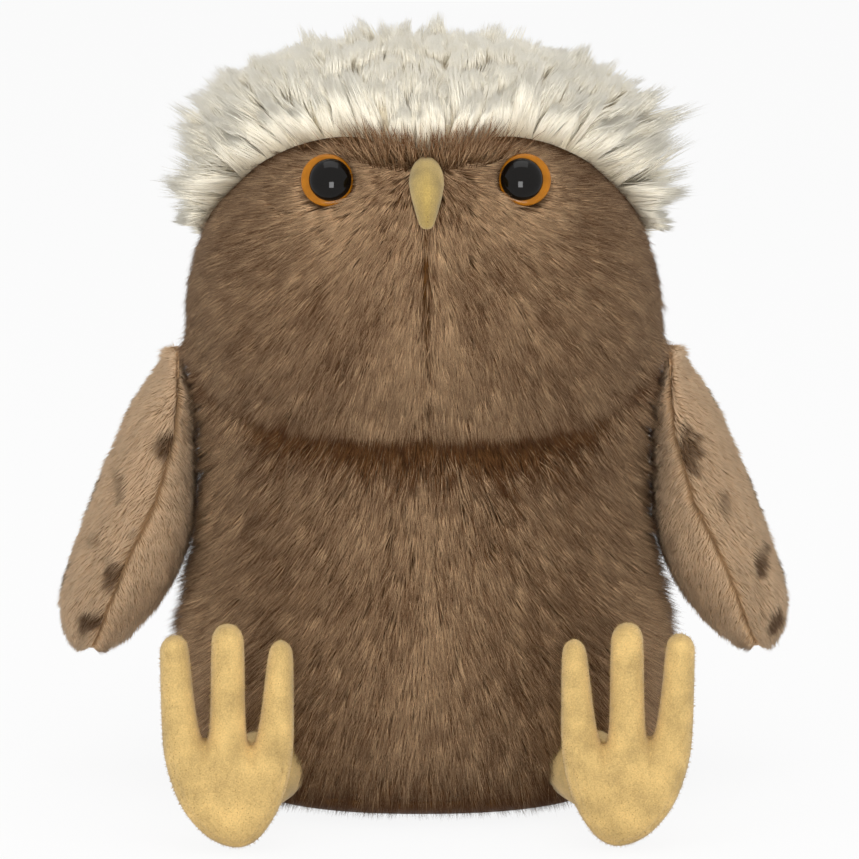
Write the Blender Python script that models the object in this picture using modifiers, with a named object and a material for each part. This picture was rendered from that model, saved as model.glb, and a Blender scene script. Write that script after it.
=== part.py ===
"""A seated plush owl with a crown of long white pile, built as its sewn panels, fillings and eyes.

The owl faces -Y and sits on the plane z = 0, centred on x = 0. Lengths are metres, angles degrees.
The pile of each fabric is part of its panel's thickness, so a panel's outer face is the fur's envelope.
The skilled feature is the head: face panels, back and crown share one surface and meet on the brow line.
"""

import math

import bmesh
import bpy
import numpy as np
from mathutils import Matrix, Vector

OBJECT_NAME = "plush_owl"

# Clearance between neighbouring pieces, and the fabrics' thickness with their pile.
GAP = 0.0003
HALF_GAP = GAP / 2
LONG_PILE = 0.005
SHORT_PILE = 0.0035
SUEDE = 0.0012

# Facets of the round forms.
COVER_SEGMENTS = 28
CROWN_SEGMENTS = COVER_SEGMENTS * 2
WING_SEGMENTS = 16
LEG_SEGMENTS = 14
LATHE_SEGMENTS = 24
FINE_STEPS = 12

# Half width and reaches to the front and back of the body at its widest; head, crown, base and wings
# keep their proportion to them. Then the heights between which the forms are drawn.
HALF_WIDTH = 0.0720
FRONT = 0.0585
BACK = 0.0565
BODY_FLOOR = 0.0070
HEAD_FLOOR = 0.1140
HEAD_TOP = 0.2093
CROWN_RISE = 0.0137
CROWN_TOP = HEAD_TOP + CROWN_RISE
WING_TOP_RISE = 0.0165
WING_TOP_Z = HEAD_FLOOR + WING_TOP_RISE
WING_TIP_Z = 0.0385


def sections(rows, low, high):
    """Turn shares of the way between two heights, of half width, front and back into a table of lengths."""
    return tuple(
        (low + (high - low) * rise, HALF_WIDTH * wide, FRONT * front, BACK * back)
        for rise, wide, front, back in rows
    )


# Body: shares of the height, half width, reach to the front, reach to the back.
BODY_POWER = 2.3
NECK_OVERRUN = 0.0100
BODY_SHARES = (
    (0.000, 0.882, 0.889, 0.885),
    (0.017, 0.910, 0.913, 0.906),
    (0.060, 0.951, 0.949, 0.938),
    (0.128, 0.986, 0.983, 0.973),
    (0.214, 1.000, 1.000, 0.991),
    (0.325, 0.997, 1.000, 1.000),
    (0.436, 0.969, 0.978, 0.991),
    (0.556, 0.933, 0.945, 0.965),
    (0.675, 0.911, 0.915, 0.938),
    (0.795, 0.907, 0.894, 0.920),
    (0.897, 0.911, 0.885, 0.912),
    (1.000, 0.917, 0.880, 0.903),
)
BODY_ROWS = sections(BODY_SHARES, BODY_FLOOR, HEAD_FLOOR + NECK_OVERRUN)
BODY_BAND_SHARES = (0.0, 0.065, 0.13, 0.24, 0.36, 0.50, 0.64, 0.78, 0.90, 0.985, 1.0)
SIDE_SEAM_Y = 0.0020

# Neck seam: turn from the front and rise of the seam over its lowest point, at the chin.
NECK_ROWS = ((0, 0.0), (30, 0.0015), (60, 0.0050), (90, 0.0090), (135, 0.0070), (180, 0.0060))

# Head: shares of the height, half width, reach to the front, reach to the back.
HEAD_POWER = 2.5
HEAD_SHARES = (
    (0.000, 0.917, 0.889, 0.903),
    (0.063, 0.938, 0.909, 0.924),
    (0.126, 0.956, 0.937, 0.943),
    (0.210, 0.972, 0.961, 0.959),
    (0.304, 0.976, 0.971, 0.965),
    (0.399, 0.964, 0.969, 0.947),
    (0.483, 0.935, 0.957, 0.915),
    (0.567, 0.889, 0.940, 0.867),
    (0.651, 0.819, 0.918, 0.805),
    (0.735, 0.729, 0.887, 0.726),
    (0.808, 0.650, 0.843, 0.641),
    (0.871, 0.563, 0.774, 0.549),
    (0.923, 0.458, 0.655, 0.442),
    (0.965, 0.319, 0.467, 0.306),
    (0.992, 0.160, 0.231, 0.150),
)
HEAD_ROWS = sections(HEAD_SHARES, HEAD_FLOOR, HEAD_TOP)
HEAD_BAND_SHARES = (0.0, 0.03, 0.14, 0.28, 0.42, 0.56, 0.70, 0.84, 0.97, 1.0)
HEAD_BACK_SEAM_Y = 0.0080

# Brow line where the face panels meet the white crown: turn from the front, share of the head's height.
BROW_SHARES = (
    (0, 0.840), (12, 0.860), (26, 0.887), (42, 0.881), (58, 0.845), (76, 0.766),
    (84, 0.682), (90, 0.609), (100, 0.525), (115, 0.472), (140, 0.451), (180, 0.451),
)

# Crown: shares of the height from head floor to crown top, and of the half width and the reaches to
# front and back, of the standing pile's envelope.
CROWN_POWER = 2.5
CROWN_SHARES = (
    (0.367, 0.958, 0.889, 0.991),
    (0.440, 1.035, 0.906, 1.071),
    (0.514, 1.104, 0.923, 1.106),
    (0.587, 1.146, 0.932, 1.115),
    (0.670, 1.153, 0.932, 1.080),
    (0.752, 1.104, 0.923, 1.000),
    (0.826, 1.007, 0.889, 0.885),
    (0.890, 0.840, 0.812, 0.743),
    (0.940, 0.639, 0.675, 0.575),
    (0.977, 0.403, 0.462, 0.372),
    (0.995, 0.181, 0.222, 0.177),
)
CROWN_ROWS = sections(CROWN_SHARES, HEAD_FLOOR, CROWN_TOP)
CROWN_RING_SHARES = (0.0, 0.12, 0.26, 0.42, 0.58, 0.74, 0.88)
CROWN_EAVE_ROWS = (
    (0, 0.0060), (40, 0.0055), (62, 0.0030), (80, -0.0010), (100, -0.0030), (140, -0.0010), (180, -0.0010),
)
CROWN_RIM = 0.0025
CROWN_RIM_STEP = 0.0014
SCALP_DEPTH = LONG_PILE - GAP
LOCK_SWING = 0.0026
LOCKS_AROUND = 14
LOCK_TWIST = 4.0

# Fillings, and shares of the way from brow to top at which the scalp is bent.
HEAD_CAP_SHARES = (0.15, 0.4, 0.65, 0.88)
FILLING_FLOOR = 0.0152
NECK_CORE_SHARE = 0.5
NECK_CORE_RISE = 0.0040

# Base panel: shares of the height, half width and reaches of its outer face, then of its inner face,
# and the pouch that lies on it.
BASE_EDGE = BODY_FLOOR - GAP
BASE_THICKNESS = 0.0028
BASE_OUTER_SHARES = (
    (0.000, 0.653, 0.650, 0.655),
    (0.179, 0.764, 0.769, 0.779),
    (0.522, 0.833, 0.838, 0.835),
    (1.000, 0.878, 0.884, 0.880),
)
BASE_INNER_SHARES = (
    (1.000, 0.839, 0.836, 0.830),
    (0.718, 0.799, 0.798, 0.793),
    (0.256, 0.736, 0.735, 0.743),
    (0.000, 0.632, 0.626, 0.630),
)
POUCH_SHARES = (
    (0.008, 0.611, 0.602, 0.605),
    (0.119, 0.701, 0.697, 0.704),
    (0.297, 0.771, 0.769, 0.761),
    (0.627, 0.819, 0.817, 0.805),
    (0.992, 0.858, 0.841, 0.825),
)
BASE_OUTER = sections(BASE_OUTER_SHARES, 0, BASE_EDGE)
BASE_INNER = sections(BASE_INNER_SHARES, BASE_THICKNESS, BASE_EDGE)
POUCH_ROWS = sections(POUCH_SHARES, BASE_THICKNESS + GAP, FILLING_FLOOR - GAP)

# Eyes: a round amber disc on a post, a black dome in it, and a lock washer behind the fabric.
EYE_X = 0.0280
EYE_HEIGHT_SHARE = 0.769
EYE_TURN = 15.0
EYE_LIFT = 14.0
EYE_RADIUS = 0.0075
EYE_BACK = 0.0020
EYE_FRONT = 0.0010
EYE_EDGE = 0.0006
PUPIL_RADIUS = 0.0062
PUPIL_SEAT = 0.0006
PUPIL_HEIGHT = 0.0033
PUPIL_EDGE = 0.0005
DOME_STEPS = 7
POST_RADIUS = 0.0020
POST_LENGTH = 0.0140
WASHER_RADIUS = 0.0072
WASHER_DEPTH = 0.0090
WASHER_THICKNESS = 0.0014
EYE_SINK = 0.0016

# Beak: shares of the drop below the brow line, of the reach to its centre, half width, half depth.
BEAK_LENGTH = 0.0183
BEAK_HALF_WIDTH = 0.0049
BEAK_HALF_DEPTH = 0.0096
BEAK_SHARES = (
    (1.000, 1.019, 0.245, 0.146),
    (0.951, 1.015, 0.408, 0.292),
    (0.847, 1.005, 0.551, 0.479),
    (0.683, 0.991, 0.735, 0.708),
    (0.492, 0.968, 0.918, 0.917),
    (0.328, 0.940, 1.000, 1.000),
    (0.191, 0.906, 0.918, 0.938),
    (0.082, 0.872, 0.694, 0.771),
    (0.011, 0.848, 0.367, 0.521),
)
BEAK_SEGMENTS = 18
BEAK_FILLING_INSET = 0.0025
BEAK_FILLING_FIRST = 4
BEAK_FILLING_LAST = 7

# Wings: shares of the height, of the inner face's offset from x = 0, of half thickness and half width.
WING_HALF_THICKNESS = 0.0167
WING_HALF_WIDTH = 0.0255
WING_SHARES = (
    (1.000, 0.982, 0.078, 0.157),
    (0.978, 0.974, 0.168, 0.353),
    (0.929, 0.969, 0.240, 0.529),
    (0.864, 0.936, 0.443, 0.667),
    (0.777, 0.929, 0.605, 0.784),
    (0.668, 0.929, 0.731, 0.882),
    (0.560, 0.931, 0.862, 0.961),
    (0.451, 0.936, 0.964, 1.000),
    (0.342, 0.971, 1.000, 1.000),
    (0.245, 1.026, 0.970, 0.941),
    (0.158, 1.094, 0.868, 0.824),
    (0.082, 1.178, 0.677, 0.647),
    (0.027, 1.265, 0.419, 0.431),
    (0.000, 1.333, 0.168, 0.196),
)
WING_HEIGHT = WING_TOP_Z - WING_TIP_Z


def wing_section(rise, inner, thick, wide):
    """Height, centre's offset, half thickness and half width of a wing's section."""
    half = WING_HALF_THICKNESS * thick
    return WING_TIP_Z + WING_HEIGHT * rise, HALF_WIDTH * inner + half, half, WING_HALF_WIDTH * wide


WING_ROWS = tuple(wing_section(*shares) for shares in WING_SHARES)
WING_Y = 0.0020
WING_TURN = 10.0
WING_FILLING_FIRST = 3
WING_FILLING_LAST = 12
WING_SPLIT_INSET = 0.0002
SHOULDER_INSET = 0.0010

# Legs and feet.
ANKLE_INSET = 0.0158
ANKLE_X = HALF_WIDTH - ANKLE_INSET
ANKLE_Z = 0.0140
FOOT_STAND_OFF = 0.0165
FOOT_Y = -(FRONT + FOOT_STAND_OFF)
FOOT_HALF_THICKNESS = 0.0062
FOOT_ROUND = 0.0034
FOOT_ROUND_STEPS = 1
FOOT_LIFT = 0.0006
TOE_THIN_START = 0.0230
TOE_THIN_END = 0.0400
TOE_THICKNESS_SHARE = 0.70
LEG_RUN = (-0.0165, 0.0385, 0.0025)
LEG_ROWS = (
    (0.0000, 0.0006), (0.0010, 0.0014), (0.0030, 0.0041), (0.0060, 0.0074), (0.0095, 0.0096),
    (0.0145, 0.0106), (0.0260, 0.0112), (0.0400, 0.0112),
)
# Outline of a foot's sole seen from the front, offset outward from its centre and height.
FOOT_OUTLINE = (
    (-0.0022, 0.0000), (0.0045, 0.0020), (0.0098, 0.0066), (0.0138, 0.0125), (0.0165, 0.0195),
    (0.0182, 0.0270), (0.0188, 0.0350), (0.0190, 0.0440), (0.0191, 0.0540), (0.0189, 0.0585),
    (0.0172, 0.0610), (0.0145, 0.0618), (0.0121, 0.0605), (0.0110, 0.0575), (0.0101, 0.0480),
    (0.0091, 0.0390), (0.0079, 0.0330), (0.0066, 0.0315), (0.0055, 0.0340), (0.0050, 0.0430),
    (0.0047, 0.0560), (0.0043, 0.0615), (0.0027, 0.0642), (0.0002, 0.0650), (-0.0025, 0.0642),
    (-0.0042, 0.0615), (-0.0046, 0.0560), (-0.0047, 0.0430), (-0.0051, 0.0330), (-0.0063, 0.0302),
    (-0.0077, 0.0318), (-0.0090, 0.0380), (-0.0102, 0.0470), (-0.0112, 0.0550), (-0.0122, 0.0585),
    (-0.0144, 0.0602), (-0.0168, 0.0594), (-0.0181, 0.0570), (-0.0184, 0.0510), (-0.0184, 0.0410),
    (-0.0184, 0.0330), (-0.0177, 0.0240), (-0.0159, 0.0160), (-0.0126, 0.0085), (-0.0078, 0.0022),
)

# Base colour, roughness of each material.
COLOURS = {
    "brown": ((0.160, 0.095, 0.052), 0.95),
    "white": ((0.820, 0.760, 0.660), 0.95),
    "fibre": ((0.850, 0.850, 0.830), 0.95),
    "pouch": ((0.560, 0.500, 0.420), 0.90),
    "tan": ((0.330, 0.215, 0.125), 0.95),
    "suede": ((0.660, 0.470, 0.180), 0.90),
    "beak": ((0.480, 0.350, 0.125), 0.90),
    "amber": ((0.420, 0.150, 0.012), 0.15),
    "black": ((0.008, 0.006, 0.005), 0.06),
    "washer": ((0.750, 0.740, 0.700), 0.45),
}

# Reach of the cutters past what they cut, the merge distance, and the two sides of the owl.
FAR = 0.3000
MERGE = 0.000001
LEFT = 1
RIGHT = -1


def clear_scene():
    """Remove what the scene holds before the owl is built."""
    for thing in list(bpy.data.objects):
        bpy.data.objects.remove(thing, do_unlink=True)


def collection(name):
    """Make a collection in the scene."""
    made = bpy.data.collections.new(name)
    bpy.context.scene.collection.children.link(made)
    return made


def material(name, colour, roughness, metallic=0.0):
    """Make a Principled material of one colour."""
    made = bpy.data.materials.new(name)
    made.use_nodes = True
    shader = made.node_tree.nodes["Principled BSDF"]
    shader.inputs["Base Color"].default_value = (*colour, 1.0)
    shader.inputs["Roughness"].default_value = roughness
    shader.inputs["Metallic"].default_value = metallic
    made.diffuse_color = (*colour, 1.0)
    return made


def place(name, mesh, group, surface=None, origin=(0, 0, 0)):
    """Put a mesh in a collection as an object with its origin at the given point."""
    mesh.transform(Matrix.Translation(-Vector(origin)))
    made = bpy.data.objects.new(name, mesh)
    made.location = origin
    group.objects.link(made)
    if surface:
        mesh.materials.append(surface)
    return made


def loft(name, rings, first_cap=None, last_cap=None):
    """Join rings of points into a mesh; a cap is the point on which its end ring closes."""
    shape = bmesh.new()
    rows = [[shape.verts.new(point) for point in ring] for ring in rings]
    for low, high in zip(rows, rows[1:]):
        for index in range(len(low)):
            after = (index + 1) % len(low)
            shape.faces.new((low[index], low[after], high[after], high[index]))
    for row, cap in ((rows[0], first_cap), (rows[-1], last_cap)):
        if cap is not None:
            centre = shape.verts.new(cap)
            for index in range(len(row)):
                shape.faces.new((row[index], row[(index + 1) % len(row)], centre))
    bmesh.ops.recalc_face_normals(shape, faces=shape.faces)
    mesh = bpy.data.meshes.new(name)
    shape.to_mesh(mesh)
    shape.free()
    return mesh


def fine_rows(rows):
    """Carry a smooth curve through the rows of a table and return it in small steps."""
    points = np.array(rows, float)
    slopes = np.gradient(points, axis=0)
    share = np.linspace(0, 1, FINE_STEPS, endpoint=False)[:, None]
    ease = share * share * (3 - 2 * share)
    made = [
        points[i] * (1 - ease)
        + points[i + 1] * ease
        + slopes[i] * (share * (1 - share) ** 2)
        - slopes[i + 1] * (share**2 * (1 - share))
        for i in range(len(points) - 1)
    ]
    return np.vstack([*made, points[-1:]])


def table_at(rows, where):
    """Read a table's second column where its first column has the given value."""
    fine = fine_rows(rows)
    return float(np.interp(where, fine[:, 0], fine[:, 1]))


def turns(count):
    """Angles around the owl in degrees, starting at the front."""
    return np.linspace(0, 360, count, endpoint=False)


def from_front(turn):
    """How far an angle is turned from the front, between 0 and 180 degrees."""
    return abs((turn + 180) % 360 - 180)


def oval_point(row, power, turn):
    """A point of an oval section: x = a sin^(2/p), y = -f cos^(2/p) in front and r cos^(2/p) behind."""
    height, half_width, front, back = row
    sine, cosine = math.sin(math.radians(turn)), math.cos(math.radians(turn))
    across = half_width * math.copysign(abs(sine) ** (2 / power), sine)
    reach = front if cosine > 0 else back
    return Vector((across, -reach * math.copysign(abs(cosine) ** (2 / power), cosine), height))


class Skin:
    """A closed-up oval form given by a table of its sections."""

    def __init__(self, rows, power):
        self.rows = fine_rows(rows)
        self.power = power
        self.places = np.arange(len(self.rows), dtype=float)

    def at_height(self, height):
        """The place on the table's curve that has a given height."""
        return float(np.interp(height, self.rows[:, 0], self.places))

    def point(self, turn, place_on):
        """The surface point at a turn and a place on the curve."""
        row = [np.interp(place_on, self.places, self.rows[:, i]) for i in range(4)]
        return oval_point(row, self.power, turn)

    def normal(self, turn, place_on):
        """The outward normal, from the differences along and around the surface."""
        around = self.point(turn + 1, place_on) - self.point(turn - 1, place_on)
        along = self.point(turn, place_on + 1) - self.point(turn, place_on - 1)
        return around.cross(along).normalized()

    def inset(self, turn, place_on, depth):
        """The point at a depth under the surface."""
        return self.point(turn, place_on) - self.normal(turn, place_on) * depth


def modifier(thing, kind, **settings):
    """Add a modifier with its settings."""
    made = thing.modifiers.new(kind.title(), kind)
    for key, value in settings.items():
        setattr(made, key, value)
    return made


def cut(thing, *tools):
    """Take cutters out of a piece."""
    for tool in tools:
        modifier(thing, "BOOLEAN", operation="DIFFERENCE", solver="EXACT", object=tool)


def thicken(thing, thickness):
    """Give a surface its thickness on the inner side."""
    modifier(thing, "SOLIDIFY", thickness=thickness, offset=-1.0, use_even_offset=True)


def cutter(name, mesh, group):
    """Put a cutting body among the cutters."""
    made = place(name, mesh, group)
    made.display_type = "WIRE"
    made.hide_render = True
    return made


def prism(name, corners, low, high):
    """A straight prism over corners given in plan."""
    rings = [[Vector((x, y, z)) for x, y in corners] for z in (low, high)]
    middle = np.mean(corners, axis=0)
    return loft(name, rings, (*middle, low), (*middle, high))


def lathe(name, profile, frame_of, group, surface=None):
    """Turn a profile of radii and heights about its axis with Screw, and lay it in a frame."""
    shape = bmesh.new()
    points = [shape.verts.new((radius, 0, height)) for radius, height in reversed(profile)]
    for first, second in zip(points, points[1:]):
        shape.edges.new((first, second))
    mesh = bpy.data.meshes.new(name)
    shape.to_mesh(mesh)
    shape.free()
    made = place(name, mesh, group, surface)
    made.matrix_world = frame_of
    modifier(
        made, "SCREW", angle=math.tau, steps=LATHE_SEGMENTS, render_steps=LATHE_SEGMENTS,
        use_merge_vertices=True, merge_threshold=MERGE,
    )
    return made


def build_covers(parts, cutters, colours):
    """The pile fabric of head and body, cut into its panels along the seams."""
    head = Skin(HEAD_ROWS, HEAD_POWER)
    body = Skin(BODY_ROWS, BODY_POWER)
    around = turns(COVER_SEGMENTS)

    def neck(turn):
        return HEAD_FLOOR + table_at(NECK_ROWS, from_front(turn))

    def brow(turn):
        return HEAD_FLOOR + (HEAD_TOP - HEAD_FLOOR) * table_at(BROW_SHARES, from_front(turn))

    head_rings = []
    for share in HEAD_BAND_SHARES:
        ring = []
        for turn in around:
            low, high = neck(turn) + HALF_GAP, brow(turn) - HALF_GAP
            ring.append(head.point(turn, head.at_height(low + (high - low) * share)))
        head_rings.append(ring)
    body_rings = []
    for share in BODY_BAND_SHARES:
        ring = []
        for turn in around:
            height = BODY_FLOOR + (neck(turn) - HALF_GAP - BODY_FLOOR) * share
            ring.append(body.point(turn, body.at_height(height)))
        body_rings.append(ring)

    def behind(y):
        return (-FAR, y), (FAR, y), (FAR, FAR), (-FAR, FAR)

    def before(y):
        return (-FAR, -FAR), (FAR, -FAR), (FAR, y), (-FAR, y)

    def all_but_quarter(side, y):
        corner = (side * HALF_GAP, -FAR), (side * HALF_GAP, y), (side * FAR, y)
        return (-side * FAR, -FAR), *corner, (side * FAR, FAR), (-side * FAR, FAR)

    panels = {
        "face_left": (head_rings, all_but_quarter(LEFT, HEAD_BACK_SEAM_Y - HALF_GAP)),
        "face_right": (head_rings, all_but_quarter(RIGHT, HEAD_BACK_SEAM_Y - HALF_GAP)),
        "head_back": (head_rings, before(HEAD_BACK_SEAM_Y + HALF_GAP)),
        "body_front": (body_rings, behind(SIDE_SEAM_Y - HALF_GAP)),
        "body_back": (body_rings, before(SIDE_SEAM_Y + HALF_GAP)),
    }
    made = {}
    for name, (rings, corners) in panels.items():
        panel = place(name, loft(name, rings), parts, colours["brown"])
        thicken(panel, LONG_PILE)
        cut(panel, cutter(f"cut_{name}", prism(name, corners, -FAR, FAR), cutters))
        made[name] = panel
    return head, body, neck, brow, made


def on_chords(ring):
    """Lay every second point of a ring midway between its neighbours."""
    count = len(ring)
    return [
        (ring[i - 1] + ring[(i + 1) % count]) / 2 if i % 2 else ring[i]
        for i in range(count)
    ]


def build_crown(parts, colours, head, brow):
    """The white scalp panel with its standing pile, raised into locks."""
    around = turns(CROWN_SEGMENTS)
    pile = Skin(CROWN_ROWS, CROWN_POWER)
    top = head.places[-1]

    def place_at(turn, share, extra):
        start = head.at_height(brow(turn) + extra)
        return start + (top - start) * share

    rings = []
    for share in reversed(HEAD_CAP_SHARES):
        rings.append(on_chords([head.inset(t, place_at(t, share, 0), SCALP_DEPTH) for t in around]))
    rings.append(on_chords([head.inset(t, place_at(t, 0, CROWN_RIM_STEP), SCALP_DEPTH) for t in around]))
    rings.append(on_chords([head.point(t, place_at(t, 0, GAP + HALF_GAP)) for t in around]))
    rings.append([head.inset(t, place_at(t, 0, CROWN_RIM_STEP), -CROWN_RIM) for t in around])
    for share in CROWN_RING_SHARES:
        ring = []
        for turn in around:
            eave = table_at(CROWN_EAVE_ROWS, from_front(turn))
            start = pile.at_height(brow(turn) + eave)
            where = start + (pile.places[-1] - start) * share
            swing = math.cos(math.radians(LOCKS_AROUND * turn) + LOCK_TWIST * share)
            ring.append(pile.inset(turn, where, -LOCK_SWING * swing * (1 - share)))
        rings.append(ring)
    ends = Vector((0, 0, HEAD_TOP - SCALP_DEPTH)), Vector((0, 0, CROWN_TOP))
    place("crown", loft("crown", rings, *ends), parts, colours["white"])


def build_fillings(parts, colours, head, body, neck, brow):
    """The fibre fillings of head and body, the weighted pouch under them and the base panel."""
    around = turns(COVER_SEGMENTS)
    depth = LONG_PILE + GAP + HALF_GAP
    core = Vector((0, 0, HEAD_FLOOR + NECK_CORE_RISE))
    top = head.places[-1]

    def neck_rings(edge, shift):
        level = [Vector((p.x, p.y, neck(t) + shift)) for p, t in zip(edge, around)]
        middle = core + Vector((0, 0, shift))
        return [middle.lerp(p, NECK_CORE_SHARE) for p in level], level, middle

    rings = []
    for share in HEAD_BAND_SHARES:
        ring = []
        for turn in around:
            low, high = neck(turn) + HALF_GAP, brow(turn) - HALF_GAP
            ring.append(head.inset(turn, head.at_height(low + (high - low) * share), depth))
        rings.append(ring)
    for share in HEAD_CAP_SHARES:
        ring = []
        for turn in around:
            start = head.at_height(brow(turn))
            ring.append(head.inset(turn, start + (top - start) * share, depth))
        rings.append(ring)
    inner, level, middle = neck_rings(rings[0], GAP + HALF_GAP)
    filling = loft("head_stuffing", [inner, level, *rings[1:]], middle, Vector((0, 0, HEAD_TOP - depth)))
    head_filling = place("head_stuffing", filling, parts, colours["fibre"])

    rings = []
    for share in BODY_BAND_SHARES[1:]:
        ring = []
        for turn in around:
            height = BODY_FLOOR + (neck(turn) - HALF_GAP - BODY_FLOOR) * share
            ring.append(body.inset(turn, body.at_height(height), depth))
        rings.append(ring)
    inner, level, middle = neck_rings(rings[-1], -HALF_GAP)
    filling = loft("body_stuffing", [*rings[:-1], level, inner], Vector((0, 0, FILLING_FLOOR)), middle)
    place("body_stuffing", filling, parts, colours["fibre"])

    rings = [[oval_point(row, BODY_POWER, t) for t in around] for row in POUCH_ROWS]
    ends = [Vector((0, 0, POUCH_ROWS[i][0])) for i in (0, -1)]
    place("bean_pouch", loft("bean_pouch", rings, *ends), parts, colours["pouch"])
    rings = [[oval_point(row, BODY_POWER, t) for t in around] for row in BASE_OUTER + BASE_INNER]
    ends = [Vector((0, 0, row[0])) for row in (BASE_OUTER[0], BASE_INNER[-1])]
    place("base_panel", loft("base_panel", rings, *ends), parts, colours["brown"])
    return head_filling


def eye_frame(head, side):
    """The frame of an eye: its origin on the fur's envelope and its axis out of the head."""
    where = head.at_height(HEAD_FLOOR + (HEAD_TOP - HEAD_FLOOR) * EYE_HEIGHT_SHARE)
    row = [np.interp(where, head.places, head.rows[:, i]) for i in range(4)]
    share = EYE_X / row[1]
    turn = math.degrees(math.asin(share ** (HEAD_POWER / 2)))
    origin = head.point(turn, where)
    axis = Vector((
        math.sin(math.radians(EYE_TURN)) * math.cos(math.radians(EYE_LIFT)),
        -math.cos(math.radians(EYE_TURN)) * math.cos(math.radians(EYE_LIFT)),
        math.sin(math.radians(EYE_LIFT)),
    ))
    origin = origin - axis * EYE_SINK
    facing = Matrix.Translation(origin) @ axis.to_track_quat("Z", "Y").to_matrix().to_4x4()
    if side == LEFT:
        return facing
    flip = Matrix.Diagonal((-1, 1, 1, 1))
    return flip @ facing @ flip


def build_eyes(parts, cutters, colours, head, panels, filling):
    """Both safety eyes, with the pockets that they sit in."""
    floor = EYE_FRONT - PUPIL_SEAT
    disc = (
        (0, -POST_LENGTH), (POST_RADIUS, -POST_LENGTH), (POST_RADIUS, -EYE_BACK),
        (EYE_RADIUS - EYE_EDGE, -EYE_BACK), (EYE_RADIUS, -EYE_BACK + EYE_EDGE),
        (EYE_RADIUS, EYE_FRONT - EYE_EDGE * 2), (EYE_RADIUS - EYE_EDGE / 2, EYE_FRONT - EYE_EDGE / 2),
        (EYE_RADIUS - EYE_EDGE, EYE_FRONT), (PUPIL_RADIUS + HALF_GAP, EYE_FRONT),
        (PUPIL_RADIUS + HALF_GAP, floor), (0, floor),
    )
    bottom = floor + HALF_GAP
    dome_foot = EYE_FRONT + PUPIL_EDGE
    dome = [(0, bottom), (PUPIL_RADIUS, bottom), (PUPIL_RADIUS, dome_foot)]
    for step in range(1, DOME_STEPS):
        angle = math.pi / 2 * step / DOME_STEPS
        dome.append((PUPIL_RADIUS * math.cos(angle), dome_foot + PUPIL_HEIGHT * math.sin(angle)))
    dome.append((0, dome_foot + PUPIL_HEIGHT))
    hole = POST_RADIUS + GAP
    front, behind = -WASHER_DEPTH, -WASHER_DEPTH - WASHER_THICKNESS
    washer = (
        (hole, behind), (WASHER_RADIUS, behind), (WASHER_RADIUS, front), (hole, front), (hole, behind),
    )
    seat = EYE_RADIUS + GAP
    room = WASHER_RADIUS + GAP
    pocket = (
        (0, behind - GAP), (room, behind - GAP), (room, front + HALF_GAP), (hole, front + HALF_GAP),
        (hole, -EYE_BACK - GAP), (seat, -EYE_BACK - GAP), (seat, FAR), (0, FAR),
    )
    inner_pocket = (
        (0, -POST_LENGTH - GAP), (hole, -POST_LENGTH - GAP), (hole, behind - GAP), (room, behind - GAP),
        (room, FAR), (0, FAR),
    )
    for side, word in ((LEFT, "left"), (RIGHT, "right")):
        facing = eye_frame(head, side)
        lathe(f"eye_{word}", disc, facing, parts, colours["amber"])
        lathe(f"pupil_{word}", dome, facing, parts, colours["black"])
        lathe(f"washer_{word}", washer, facing, parts, colours["washer"])
        for name, profile, target in (
            (f"cut_pocket_{word}", pocket, panels[f"face_{word}"]),
            (f"cut_washer_room_{word}", inner_pocket, filling),
        ):
            tool = lathe(name, profile, facing, cutters)
            tool.display_type = "WIRE"
            tool.hide_render = True
            cut(target, tool)


def beak_rings(rows, inset):
    """Sections of the beak: ovals made smaller by an inset."""
    rings = []
    for height, reach, half_width, half_depth in rows:
        width, deep = half_width - inset, half_depth - inset
        ring = []
        for turn in turns(BEAK_SEGMENTS):
            angle = math.radians(turn)
            across = width * math.sin(angle)
            ring.append(Vector((across, -reach - deep * math.cos(angle), height)))
        rings.append(ring)
    return rings


def closed_rings(name, rings):
    """Close a run of rings on the middle of its first and last ring."""
    ends = [sum(ring, Vector()) / len(ring) for ring in (rings[0], rings[-1])]
    return loft(name, rings, *ends)


def build_beak(parts, cutters, colours, head, brow):
    """The two beak panels, joined on the ridge, and their filling."""
    rows = [
        (brow(0) - BEAK_LENGTH * drop, FRONT * reach, BEAK_HALF_WIDTH * wide, BEAK_HALF_DEPTH * deep)
        for drop, reach, wide, deep in BEAK_SHARES
    ]
    around = turns(COVER_SEGMENTS)
    rings = []
    for where in np.linspace(0, head.places[-1], COVER_SEGMENTS):
        rings.append([head.inset(turn, where, -GAP) for turn in around])
    face_room = cutter("cut_beak_back", closed_rings("cut_beak_back", rings), cutters)
    for side, word in ((LEFT, "left"), (RIGHT, "right")):
        panel = place(f"beak_{word}", closed_rings("beak", beak_rings(rows, 0)), parts, colours["beak"])
        thicken(panel, SUEDE)
        corners = ((side * HALF_GAP, -FAR), (side * HALF_GAP, FAR), (-side * FAR, FAR), (-side * FAR, -FAR))
        half = cutter(f"cut_beak_{word}", prism("half", corners, -FAR, FAR), cutters)
        cut(panel, half, face_room)
    rings = beak_rings(rows[BEAK_FILLING_FIRST:BEAK_FILLING_LAST], BEAK_FILLING_INSET)
    filling = place("beak_stuffing", closed_rings("beak", rings), parts, colours["fibre"])
    cut(filling, face_room)


def wing_rings(side, inset, first, last):
    """Horizontal sections of a wing, made smaller by an inset."""
    rings = []
    turn_by = math.radians(WING_TURN)
    for height, centre, half_thickness, half_width in WING_ROWS[first:last]:
        thick, wide = half_thickness - inset, half_width - inset
        ring = []
        for turn in turns(WING_SEGMENTS):
            angle = math.radians(turn)
            across, along = thick * math.sin(angle), -wide * math.cos(angle)
            x = across * math.cos(turn_by) + along * math.sin(turn_by)
            y = along * math.cos(turn_by) - across * math.sin(turn_by)
            ring.append(Vector((side * (centre + x), WING_Y + y, height)))
        rings.append(ring)
    return rings


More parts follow.
